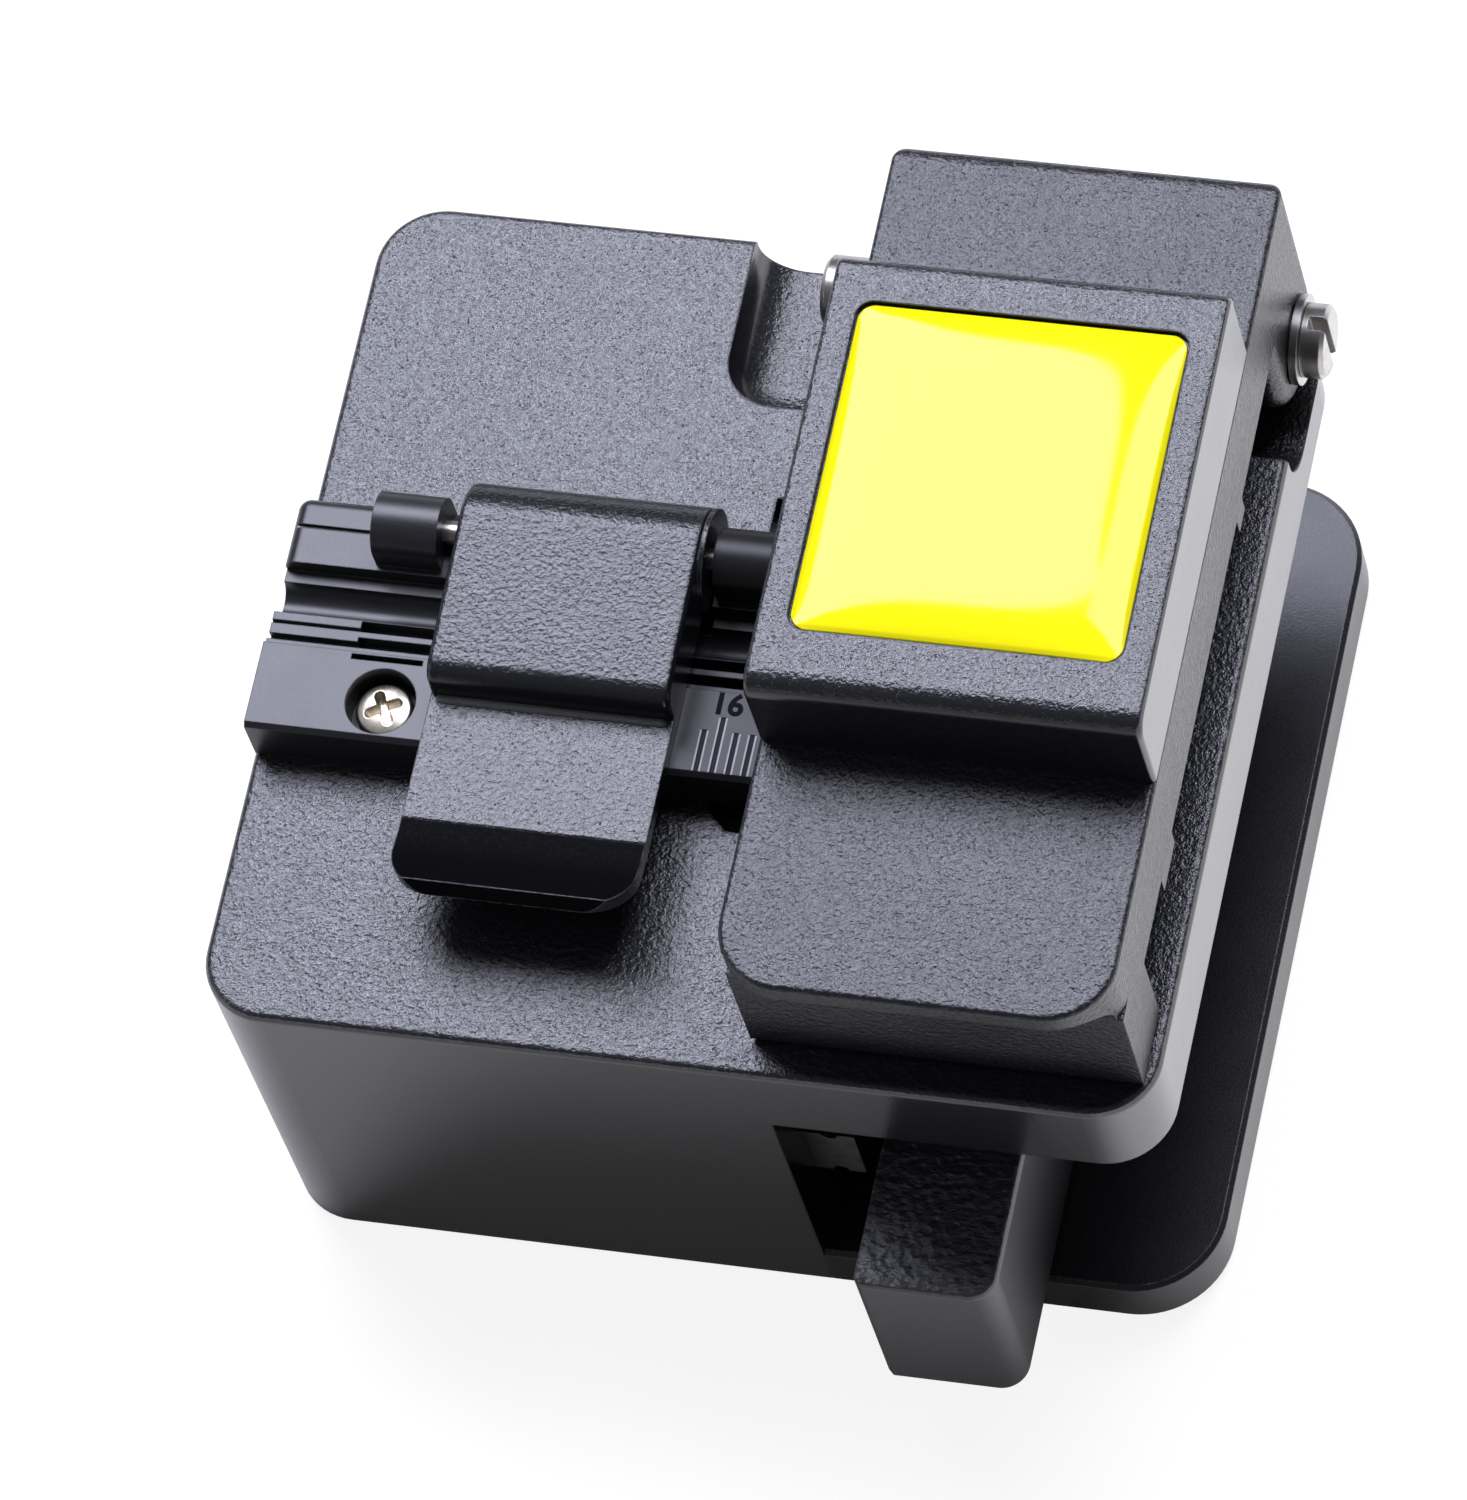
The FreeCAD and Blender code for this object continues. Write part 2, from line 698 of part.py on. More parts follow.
for name, (column, line) in feet.items():
    turned(newBody(name), "XZ", (column, "0", line), [
        ("0", "-footStand"),
        ("footRadius - footEdge", "-footStand"),
        ("footRadius", "footEdge - footStand"),
        ("footRadius", footSeat),
        ("0", footSeat),
    ])

# ------------------------------------------------------------------ linear guide

linearRail = newBody("linear_rail")
railTop = "(railHeight + railWidth/2)"
railBottom = "(railHeight - railWidth/2)"
trackLeft = "(channelLeft + railThickness/2 - railTrack)"
trackRight = "(channelLeft + railThickness/2 + railTrack)"
prism(linearRail, "XZ", "railInset", "bodyDepth - railInset", [
    ("channelLeft", railBottom),
    (trackLeft, railBottom, "railTrack", -1),
    (trackRight, railBottom),
    ("railFace", railBottom),
    ("railFace", railTop),
    (trackRight, railTop, "railTrack", -1),
    (trackLeft, railTop),
    ("channelLeft", railTop),
])
railSeat = "(railFace - midHeadHeight - headSink)"
cut(linearRail, "YZ", "channelLeft", "railFace", *[disc(*place, "midShank + fitGap") for place in railScrews])
cut(linearRail, "YZ", railSeat, "railFace", *[disc(*place, "midHead + headGap") for place in railScrews])
screws("rail_screws", "YZ", railScrews, railSeat, 1, midScrew, "railScrewLength")

guideBlock = newBody("guide_block")
guideLeft = "(channelLeft + guideBlockGap)"
prism(guideBlock, "XZ", "guideBlockFront", "guideBlockFront + guideBlockLength", [
    (guideLeft, "railHeight - guideBlockWidth/2"),
    ("carriageLeft", "railHeight - guideBlockWidth/2"),
    ("carriageLeft", "railHeight + guideBlockWidth/2"),
    (guideLeft, "railHeight + guideBlockWidth/2"),
    (guideLeft, f"{railTop} + slideGap"),
    ("railFace + slideGap", f"{railTop} + slideGap"),
    ("railFace + slideGap", f"{railBottom} - slideGap"),
    (guideLeft, f"{railBottom} - slideGap"),
])
carriageScrews = [
    (
        f"guideBlockFront + guideBlockLength/2 + {along}*carriageScrewPitch/2",
        f"railHeight + {up}*(guideBlockWidth - 2*bigHead)/2",
    )
    for along in (-1, 1)
    for up in (-1, 1)
]
carriageSeat = "(carriageRight - carriageScrewSink)"
screwTip = f"({carriageSeat} - carriageScrewLength)"
cut(
    guideBlock, "YZ", screwTip, "carriageLeft",
    *[disc(*place, "midShank + fitGap") for place in carriageScrews],
)

# ------------------------------------------------------------------ carriage, knob and blade

carriage = newBody("slider_carriage")
prism(carriage, "XY", "carriageBottom", "carriageTop", [
    ("carriageLeft + knobChamfer", "-knobReach"),
    ("carriageRight - knobCornerRadius", "-knobReach", "knobCornerRadius", 1),
    ("carriageRight", "knobCornerRadius - knobReach"),
    ("carriageRight", "carriageBack"),
    ("carriageLeft", "carriageBack"),
    ("carriageLeft", "knobChamfer - knobReach"),
])
soften(
    carriage, "Fillet", "knobEdge",
    ("carriageLeft + carriageWidth/2", "-knobReach", "carriageTop"),
    ("carriageLeft + carriageWidth/2", "-knobReach", "carriageBottom"),
)
# room for the blade's lower edge
cut(carriage, "XY", "bladeHeight - bladeRadius - bladeRoom", "carriageTop", box(
    "bladeCentre - bladeThickness/2 - bladeRoom",
    "bladeCentre + bladeThickness/2 + bladeRoom",
    "bladeLine - sqrt(bladeRadius^2 - (bladeHeight - carriageTop)^2) - bladeRoom",
    "bladeLine + sqrt(bladeRadius^2 - (bladeHeight - carriageTop)^2) + bladeRoom",
))
cut(
    carriage, "YZ", "carriageLeft", "carriageRight",
    *[disc(*place, "midShank + fitGap") for place in carriageScrews],
)
cut(
    carriage, "YZ", carriageSeat, "carriageRight",
    *[disc(*place, "midHead + headGap") for place in carriageScrews],
)
screws("carriage_screws", "YZ", carriageScrews, carriageSeat, 1, midScrew, "carriageScrewLength")

cheekScrews = [("bladeCentre", f"bladeLine + {side}*cheekScrewOffset") for side in (-1, 1)]
footTop = "(carriageTop + bladeHolderFoot)"
cut(
    carriage, "XY", f"{footTop} - cheekScrewLength", "carriageTop",
    *[disc(*place, "smallShank + fitGap") for place in cheekScrews],
)
bladeHolder = newBody("blade_holder")
prism(bladeHolder, "XY", "carriageTop", footTop, box(
    "bladeCentre - cheekOuter",
    "bladeCentre + cheekOuter",
    "bladeLine - bladeHolderLength/2",
    "bladeLine + bladeHolderLength/2",
))
for start, end in (
    ("bladeCentre - cheekOuter", "bladeCentre - cheekInner"),
    ("bladeCentre + cheekInner", "bladeCentre + cheekOuter"),
):
    prism(bladeHolder, "YZ", start, end, [
        ("bladeLine - cheekFoot", "carriageTop"),
        ("bladeLine + cheekFoot", "carriageTop"),
        ("bladeLine + cheekFoot", footTop),
        ("bladeLine + cheekRadius", "bladeHeight", "cheekRadius", 1),
        ("bladeLine - cheekRadius", "bladeHeight"),
        ("bladeLine - cheekFoot", footTop),
    ])
cut(bladeHolder, "XY", "carriageTop", footTop, box(
    "bladeCentre - bladeThickness/2 - bladeRoom",
    "bladeCentre + bladeThickness/2 + bladeRoom",
    f"bladeLine - sqrt(bladeRadius^2 - (bladeHeight - {footTop})^2) - bladeRoom",
    f"bladeLine + sqrt(bladeRadius^2 - (bladeHeight - {footTop})^2) + bladeRoom",
))
cut(
    bladeHolder, "YZ", "bladeCentre - cheekOuter", "bladeCentre + cheekOuter",
    disc("bladeLine", "bladeHeight", "axleRadius + fitGap"),
)
cut(
    bladeHolder, "XY", "carriageTop", footTop,
    *[disc(*place, "smallShank + fitGap") for place in cheekScrews],
)
screws("blade_holder_screws", "XY", cheekScrews, footTop, 1, smallScrew, "cheekScrewLength")

# axle with a plain round head at each end
bladeAxle = newBody("blade_axle")
turned(bladeAxle, "XZ", ("bladeCentre", "bladeHeight", "bladeLine"), [
    ("-cheekOuter - axleHead", "0"),
    ("cheekOuter + axleHead", "0"),
    ("cheekOuter + axleHead", "axleHeadRadius"),
    ("cheekOuter", "axleHeadRadius"),
    ("cheekOuter", "axleRadius"),
    ("-cheekOuter", "axleRadius"),
    ("-cheekOuter", "axleHeadRadius"),
    ("-cheekOuter - axleHead", "axleHeadRadius"),
], "H_Axis")

bladeHub = newBody("blade_hub")
hubHalf = "(bladeThickness/2 + hubFlange)"
turned(bladeHub, "XZ", ("bladeCentre", "bladeHeight", "bladeLine"), [
    (f"-{hubHalf}", "axleRadius + runGap"),
    (hubHalf, "axleRadius + runGap"),
    (hubHalf, "hubFlangeRadius"),
    ("bladeThickness/2", "hubFlangeRadius"),
    ("bladeThickness/2", "hubRadius"),
    ("-bladeThickness/2", "hubRadius"),
    ("-bladeThickness/2", "hubFlangeRadius"),
    (f"-{hubHalf}", "hubFlangeRadius"),
], "H_Axis")

blade = newBody("blade")
turned(blade, "XZ", ("bladeCentre", "bladeHeight", "bladeLine"), [
    ("-bladeThickness/2", "hubRadius + fitGap"),
    ("bladeThickness/2", "hubRadius + fitGap"),
    ("bladeThickness/2", "bladeRadius - bladeBevel"),
    ("bladeEdge/2", "bladeRadius"),
    ("-bladeEdge/2", "bladeRadius"),
    ("-bladeThickness/2", "bladeRadius - bladeBevel"),
], "H_Axis")

# ------------------------------------------------------------------ lower clamps

for side, column in clampColumns.items():
    block = newBody(f"lower_clamp_{side}")
    endTop = "(padBottom - lowerClampEndDrop)"
    prism(block, "YZ", f"{column} - lowerClampWidth/2", f"{column} + lowerClampWidth/2", [
        ("fibreLine - lowerClampLength/2", "bayFloor"),
        ("fibreLine + lowerClampLength/2", "bayFloor"),
        ("fibreLine + lowerClampLength/2", endTop),
        ("fibreLine + padLength/2", endTop),
        ("fibreLine + padLength/2", "padBottom"),
        ("fibreLine - padLength/2", "padBottom"),
        ("fibreLine - padLength/2", endTop),
        ("fibreLine - lowerClampLength/2", endTop),
    ])
    places = [place for place in clampScrews if place[0] == column]
    cut(block, "XY", "bayFloor", endTop, *[disc(*place, "smallShank + fitGap") for place in places])
    pad = newBody(f"lower_pad_{side}")
    half = "(lowerClampWidth/2 - padInset)"
    prism(pad, "XY", "padBottom", "fibreHeight", roundedBox(
        f"{column} - {half}", f"{column} + {half}",
        "fibreLine - padLength/2", "fibreLine + padLength/2", "padInset",
    ))
screws("lower_clamp_screws", "XY", clampScrews, endTop, 1, smallScrew, "clampScrewLength")

# ------------------------------------------------------------------ fibre holder

holder = newBody("holder_plate")
low = "(holderTop - bedLow)"
high = "(holderTop - bedHigh)"
prism(holder, "YZ", "holderLeft", "holderRight", [
    ("holderFront", "bodyHeight"),
    ("holderBack", "bodyHeight"),
    ("holderBack", "holderTop - holderBackRadius", "holderBackRadius", 1),
    ("holderBack - holderBackRadius", "holderTop"),
    ("fibreLine + bedStep", "holderTop"),
    ("fibreLine + bedStep", low),
    ("fibreLine + grooveRadius", low, "grooveRadius", -1),
    ("fibreLine - grooveRadius", low),
    ("fibreLine - grooveRadius", high),
    ("fibreLine - fineGrooveOffset + fineGrooveHalf", high),
    ("fibreLine - fineGrooveOffset", f"{high} - fineGrooveDepth"),
    ("fibreLine - fineGrooveOffset - fineGrooveHalf", high),
    ("fibreLine - ledgeBack", high),
    ("fibreLine - ledgeBack", "holderTop - ledgeDrop"),
    ("fibreLine - ledgeFront", "holderTop - ledgeDrop"),
    ("fibreLine - ledgeFront", "holderTop - ridgeDrop"),
    ("fibreLine - ridgeFront", "holderTop - ridgeDrop"),
    ("fibreLine - ridgeFront", "holderTop"),
    ("holderFront + holderFrontEdge", "holderTop"),
    ("holderFront", "holderTop - holderFrontEdge"),
])
# round corner at the left rear
soften(holder, "Fillet", "holderBackRadius", ("holderLeft", "holderBack", "(bodyHeight + holderTop)/2"))
# two deep slots that take jackets of other sizes
for step in (0, 1):
    back = f"(fibreLine - jacketSlotOffset - {step}*jacketSlotPitch)"
    cut(
        holder, "XY", "holderTop - jacketSlotDepth", "holderTop + past",
        box("jacketSlotLeft", "holderRight + past", f"{back} - jacketSlotWidth", back),
    )
# slit beside the slots and a scribed line under the hinge pin
cut(
    holder, "XY", "holderTop - slitDepth", "holderTop + past",
    box("slitLeft", "slitLeft + slitLength", "slitLine - slitWidth/2", "slitLine + slitWidth/2"),
)
cut(
    holder, "XY", "holderTop - scribeDepth", "holderTop + past",
    box(
        "holderLeft - past", "holderRight + past",
        "clampPinLine - scribeWidth/2", "clampPinLine + scribeWidth/2",
    ),
)
# two knuckles for the clamp's pin
knuckles = ("knuckleLeft", "knuckleRight")
for start in knuckles:
    prism(holder, "YZ", start, f"{start} + knuckleLength", [
        ("clampPinLine - knuckleRadius", "holderTop - holderBackRadius"),
        ("clampPinLine + knuckleRadius", "holderTop - holderBackRadius"),
        ("clampPinLine + knuckleRadius", "clampPinHeight", "knuckleRadius", 1),
        ("clampPinLine - knuckleRadius", "clampPinHeight"),
    ])
cut(
    holder, "YZ", "knuckleLeft", "knuckleRight + knuckleLength",
    disc("clampPinLine", "clampPinHeight", "clampPinRadius + fitGap"),
)
# trough that the clamp's round back turns in
cut(
    holder, "XY", "clampPinHeight - clampLobeRadius - troughGap", "holderTop + past",
    box(
        "clampLeft - troughGap", "clampRight + clampLobeReach + slideGap",
        "clampPinLine - clampLobeRadius - troughGap", "holderBack + past",
    ),
)
# screw pockets and the magnet's seat
holderSeat = "(holderTop - holderPocketDepth)"
cut(holder, "XY", "bodyHeight", "holderTop", *[disc(*place, "bigShank + fitGap") for place in holderScrews])
cut(holder, "XY", holderSeat, "holderTop", *[disc(*place, "holderPocketRadius") for place in holderScrews])
magnetSpot = ("holderMagnetColumn", "holderMagnetLine")
magnetFoot = "(holderTop - holderMagnetHeight)"
cut(holder, "XY", magnetFoot, "holderTop", disc(*magnetSpot, "smallMagnetRadius + fitGap"))
screws("holder_screws", "XY", holderScrews, holderSeat, 1, bigScrew, "holderScrewLength")
holderMagnet = newBody("holder_magnet")
prism(holderMagnet, "XY", magnetFoot, "holderTop", disc(*magnetSpot, "smallMagnetRadius"))
holderPin = newBody("holder_hinge_pin")
prism(
    holderPin, "YZ", "knuckleLeft", "knuckleRight + knuckleLength",
    disc("clampPinLine", "clampPinHeight", "clampPinRadius"),
)

# ------------------------------------------------------------------ holder clamp

clamp = newBody("holder_clamp")
lobeFoot = "clampPinLine - sqrt(clampLobeRadius^2 - (clampPinHeight - clampBottom)^2)"
lipCentre = "(plateTop + lipRadius)"
lipUnder = "(lipRadius + clampPlateThickness)"
lipRise = "sqrt(lipRadius^2 - lipReach^2)"
prism(clamp, "YZ", "clampLeft", "clampRight", [
    (lobeFoot, "clampBottom", "clampLobeRadius", 1),
    ("clampPinLine + clampLobeRadius", "clampPinHeight", "clampLobeRadius", 1),
    ("clampPinLine", "clampTop"),
    ("clampStepLine + clampStepRadius", "clampTop - clampTopFall", "clampStepRadius", 1),
    ("clampStepLine", "clampTop - clampTopFall - clampStepRadius"),
    ("clampStepLine", "clampBottom"),
])
soften(
    clamp, "Fillet", "clampEdge",
    ("clampLeft", "fibreLine", "clampTop - clampTopFall/2"),
    ("clampRight", "fibreLine", "clampTop - clampTopFall/2"),
)
# the lobe stands out at its right end
prism(
    clamp, "YZ", "clampRight", "clampRight + clampLobeReach",
    disc("clampPinLine", "clampPinHeight", "clampLobeRadius"),
)
# flat plate with its upturned finger lip
prism(clamp, "YZ", "clampLeft", "clampRight", [
    ("clampStepLine + clampStepRadius", "clampBottom"),
    ("clampStepLine + clampStepRadius", "plateTop"),
    ("clampPlateEnd", "plateTop", "lipRadius", -1),
    ("clampPlateEnd - lipReach", f"{lipCentre} - {lipRise}"),
    (
        f"clampPlateEnd - lipReach*{lipUnder}/lipRadius",
        f"{lipCentre} - {lipRise}*{lipUnder}/lipRadius",
        lipUnder, 1,
    ),
    ("clampPlateEnd", "clampBottom"),
])
# round plan corners of the upturned finger lip
lipFront = f"(clampPlateEnd - lipReach*{lipUnder}/lipRadius)"
cut(
    clamp, "XY", "clampBottom - past", "clampTop + past",
    [
        ("clampLeft - past", f"{lipFront} - past"),
        ("clampLeft + lipCornerRadius", f"{lipFront} - past"),
        ("clampLeft + lipCornerRadius", lipFront, "lipCornerRadius", -1),
        ("clampLeft", f"{lipFront} + lipCornerRadius"),
        ("clampLeft - past", f"{lipFront} + lipCornerRadius"),
    ],
    [
        ("clampRight + past", f"{lipFront} - past"),
        ("clampRight + past", f"{lipFront} + lipCornerRadius"),
        ("clampRight", f"{lipFront} + lipCornerRadius", "lipCornerRadius", -1),
        ("clampRight - lipCornerRadius", lipFront),
        ("clampRight - lipCornerRadius", f"{lipFront} - past"),
    ],
)
cut(
    clamp, "YZ", "clampLeft", "clampRight + clampLobeReach",
    disc("clampPinLine", "clampPinHeight", "clampPinRadius + runGap"),
)
padRoof = "(clampBottom - clampPadDrop + clampPadThickness)"
padEnds = ("clampLeft + clampPadInset", "clampRight - clampPadInset")
cut(
    clamp, "XY", "clampBottom - past", padRoof,
    box(
        f"{padEnds[0]} - fitGap", f"{padEnds[1]} + fitGap",
        "clampPadFront - fitGap", "clampPadBack + fitGap",
    ),
)
cut(
    clamp, "XY", "clampBottom", "clampBottom + smallMagnetHeight",
    disc(*magnetSpot, "smallMagnetRadius + fitGap"),
)
clampPad = newBody("clamp_pad")
prism(
    clampPad, "XY", "clampBottom - clampPadDrop", padRoof,
    box(padEnds[0], padEnds[1], "clampPadFront", "clampPadBack"),
)
clampMagnet = newBody("clamp_magnet")
prism(
    clampMagnet, "XY", "clampBottom", "clampBottom + smallMagnetHeight",
    disc(*magnetSpot, "smallMagnetRadius"),
)

# ------------------------------------------------------------------ hinge shaft and circlips

clipStarts = {
    "left": "(lidLeft - slideGap - circlipThickness)",
    "right": "(lidRight + slideGap)",
}
shaft = newBody("hinge_shaft")
shaftEnd = "(bodyWidth + hingeShaftReach)"
grooveBottom = "(hingeShaftRadius - circlipGrooveDepth)"
shaftOutline = [
    ("hingeShaftLeft", "0"),
    (shaftEnd, "0"),
    (shaftEnd, "hingeShaftRadius - hingeShaftEdge"),
    (f"{shaftEnd} - hingeShaftEdge", "hingeShaftRadius"),
]
for side in ("right", "left"):
    start = clipStarts[side]
    shaftOutline += [
        (f"{start} + circlipThickness + fitGap", "hingeShaftRadius"),
        (f"{start} + circlipThickness + fitGap", grooveBottom),
        (f"{start} - fitGap", grooveBottom),
        (f"{start} - fitGap", "hingeShaftRadius"),
    ]
shaftOutline += [
    ("hingeShaftLeft + hingeShaftEdge", "hingeShaftRadius"),
    ("hingeShaftLeft", "hingeShaftRadius - hingeShaftEdge"),
]
turned(shaft, "XZ", ("0", "hingeHeight", "hingeLine"), shaftOutline, "H_Axis")
cut(shaft, "YZ", f"{shaftEnd} - shaftSlotDepth", shaftEnd, box(
    "hingeLine - shaftSlotWidth/2",
    "hingeLine + shaftSlotWidth/2",
    "hingeHeight - hingeShaftRadius - past",
    "hingeHeight + hingeShaftRadius + past",
))

for side, start in clipStarts.items():
    clip = newBody(f"circlip_{side}")
    end = f"{start} + circlipThickness"
    prism(clip, "YZ", start, end, disc("hingeLine", "hingeHeight", "circlipRadius"))
    cut(clip, "YZ", start, end, disc("hingeLine", "hingeHeight", f"{grooveBottom} + fitGap"))
    cut(clip, "YZ", start, end, box(
        "hingeLine - circlipMouth/2", "hingeLine + circlipMouth/2",
        "hingeHeight - circlipRadius - past", "hingeHeight",
    ))

# ------------------------------------------------------------------ lid

lid = newBody("lid_lever")
lidFront = "(-lidOverhang)"
lipLow = "(lidTop - padLipThickness)"
legBottom = "(bodyHeight + legGap)"
prism(lid, "YZ", "lidLeft", "lidRight", [
    (lidFront, lipLow, "coveRadius", -1),
    ("legFront", "coveBottom"),
    ("legFront", legBottom),
    ("legFront + legDepth", legBottom),
    ("legFront + legDepth", "lidBottom"),
    ("hingeLine - earRadius", "lidBottom"),
    ("hingeLine - earRadius", "hingeHeight", "earRadius", 1),
    ("lidBack", "hingeHeight"),
    ("lidBack", "lidTop"),
    (lidFront, "lidTop"),
])
# round plan corners of the front pad
cut(
    lid, "XY", "coveBottom", "lidTop + past",
    [
        ("lidLeft - past", f"{lidFront} - past"),
        ("lidLeft + padCornerRadius", f"{lidFront} - past"),
        ("lidLeft + padCornerRadius", lidFront, "padCornerRadius", -1),
        ("lidLeft", f"{lidFront} + padCornerRadius"),
        ("lidLeft - past", f"{lidFront} + padCornerRadius"),
    ],
    [
        ("lidRight + past", f"{lidFront} - past"),
        ("lidRight + past", f"{lidFront} + padCornerRadius"),
        ("lidRight", f"{lidFront} + padCornerRadius", "padCornerRadius", -1),
        ("lidRight - padCornerRadius", lidFront),
        ("lidRight - padCornerRadius", f"{lidFront} - past"),
    ],
)
soften(lid, "Fillet", "lidEdge", ("lidMiddle", lidFront, "lidTop"))
soften(lid, "Fillet", "lidBackEdge", ("lidMiddle", "lidBack", "lidTop"))
# gap between the ears
cut(lid, "YZ", "lidLeft + earWidth", "lidRight - earWidth", box(
    "hingeLine - earRadius - past", "lidBack + past", "hingeHeight - earRadius - past", "lidBottom",
))
cut(lid, "YZ", "lidLeft", "lidRight", disc("hingeLine", "hingeHeight", "hingeShaftRadius + runGap"))
cut(lid, "XY", legBottom, f"{legBottom} + magnetHeight", disc(*magnetPlace, "magnetRadius + fitGap"))
lidMagnet = newBody("lid_magnet")
prism(lidMagnet, "XY", legBottom, f"{legBottom} + magnetHeight", disc(*magnetPlace, "magnetRadius"))

coverScrews = [
    (column, line)
    for column in ("lidLeft + coverScrewInset", "lidRight - coverScrewInset")
    for line in ("coverScrewFront", "coverScrewBack")
]
frameScrews = [("bladeCentre", line) for line in ("frameScrewFront", "frameScrewBack")]
cut(lid, "XY", "lidBottom", "lidTop", *[disc(*place, "midShank + fitGap") for place in coverScrews])
cut(lid, "XY", "lidBottom", "coverScrewSeat", *[disc(*place, "midHead + headGap") for place in coverScrews])
cut(
    lid, "XY", "lidBottom", "lidBottom + frameScrewLength",
    *[disc(*place, "smallShank + fitGap") for place in frameScrews],
)
screws("cover_screws", "XY", coverScrews, "coverScrewSeat", -1, midScrew, "coverScrewLength")

cover = newBody("lid_cover")
prism(cover, "YZ", "lidLeft", "lidRight", [
    ("coverFront", "lidTop"),
    ("coverBack", "lidTop"),
    ("coverBack", "coverTop - coverBackRadius", "coverBackRadius", 1),
    ("coverBack - coverBackRadius", "coverTop"),
    ("coverFront + coverFrontRadius", "coverTop", "coverFrontRadius", 1),
    ("coverFront", "coverTop - coverFrontRadius"),
])
coverCentre = "(coverFront/2 + coverBack/2)"
soften(
    cover, "Fillet", "coverEdge",
    ("lidLeft", coverCentre, "coverTop"), ("lidRight", coverCentre, "coverTop"),
)
labelLeft = "(lidMiddle - labelWidth/2)"
labelRight = "(lidMiddle + labelWidth/2)"
cut(cover, "XY", "coverTop - labelPocket", "coverTop", roundedBox(
    f"{labelLeft} - labelGap", f"{labelRight} + labelGap",
    "labelFront - labelGap", "labelFront + labelDepth + labelGap", "labelCornerRadius",
))
cut(
    cover, "XY", "lidTop", "coverScrewSeat + coverScrewLength",
    *[disc(*place, "midShank + fitGap") for place in coverScrews],
)
label = newBody("label")
labelFoot = "(coverTop - labelPocket)"
prism(label, "XY", labelFoot, f"{labelFoot} + labelThickness", roundedBox(
    labelLeft, labelRight, "labelFront", "labelFront + labelDepth", "labelCornerRadius",
))
soften(label, "Chamfer", "labelDome", ("lidMiddle", "labelFront", f"{labelFoot} + labelThickness"))

# ------------------------------------------------------------------ clamp frame and plungers

frame = newBody("upper_clamp_frame")
frameEnds = ("lidLeft + frameInset", "lidRight - frameInset")
prism(frame, "YZ", frameEnds[0], frameEnds[1], [
    ("frameFront", "frameUnder - frameRibHeight"),
    ("frameFront + frameFrontRib", "frameUnder - frameRibHeight"),
    ("frameFront + frameFrontRib", "frameUnder"),
    ("frameBack - frameBackRib", "frameUnder"),
    ("frameBack - frameBackRib", "frameUnder - frameRibHeight"),
    ("frameBack", "frameUnder - frameRibHeight"),
    ("frameBack", "lidBottom"),
    ("frameFront", "lidBottom"),
])
cut(frame, "XY", "frameUnder", "lidBottom", *[disc(*place, "smallShank + fitGap") for place in frameScrews])
screws("frame_screws", "XY", frameScrews, "frameUnder", -1, smallScrew, "frameScrewLength")


def plunger(name, column, width, length, bottom, springName):
    """A block that slides in the frame on its flange, pushed down by a spring in the lid."""
    body = newBody(name)

    def around(more):
        return box(
            f"{column} - {width}/2 - ({more})", f"{column} + {width}/2 + ({more})",
            f"fibreLine - {length}/2 - ({more})", f"fibreLine + {length}/2 + ({more})",
        )

    prism(body, "XY", bottom, "springFoot", around("0"))
    prism(body, "XY", "lidBottom", "springFoot", around("plungerFlange"))
    cut(frame, "XY", "frameUnder", "lidBottom", around("slideGap"))
    cut(lid, "XY", "lidBottom", "springFoot + plungerTravel + slideGap", around("plungerFlange + slideGap"))
    bore = disc(column, "fibreLine", "springCoilRadius + springWire/2 + slideGap")
    cut(lid, "XY", "lidBottom", "springHead", bore)
    spring = newBody(springName)
    wire = newSketch(spring, "XZ", column, "springFoot + springWire/2", "fibreLine")
    draw(wire, [ring("springCoilRadius", "0", "springWire/2", 4)])
    coil = spring.newObject("PartDesign::AdditiveHelix", f"{springName}Coil")
    coil.Profile = wire
    coil.ReferenceAxis = (wire, ["V_Axis"])
    coil.Mode = "height-turns-growth"
    coil.setExpression("Height", full("plungerSpringLength - springWire"))
    coil.setExpression("Turns", full("springTurns"))
    return body


plungerBottom = "(fibreHeight + padGap + padThickness)"
for side, column in clampColumns.items():
    plunger(f"pressure_block_{side}", column, "plungerWidth", "padLength", plungerBottom, f"spring_{side}")
    pad = newBody(f"upper_pad_{side}")
    half = "(plungerWidth/2 - padInset)"
    prism(pad, "XY", f"{plungerBottom} - padThickness", plungerBottom, roundedBox(
        f"{column} - {half}", f"{column} + {half}",
        "fibreLine - padLength/2 + padInset", "fibreLine + padLength/2 - padInset", "padInset",
    ))
plunger("anvil", "bladeCentre", "anvilWidth", "anvilLength", "(fibreHeight + anvilGap)", "spring_anvil")

# ------------------------------------------------------------------ check and write

doc.recompute()
os.makedirs("parts", exist_ok=True)
pieces = [item for item in doc.Objects if item.TypeId == "PartDesign::Body"]
for item in doc.Objects:
    if "Invalid" in item.State or "Error" in item.State:
        raise ValueError(f"{item.Label} is not in order: {item.State}")
for piece in pieces:
    if piece.Shape.isNull() or not piece.Shape.isValid():
        raise ValueError(f"{piece.Label} has no valid shape")
    piece.Shape.exportStep(f"parts/{piece.Label}.step")
print(f"{len(pieces)} pieces written")
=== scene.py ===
import math

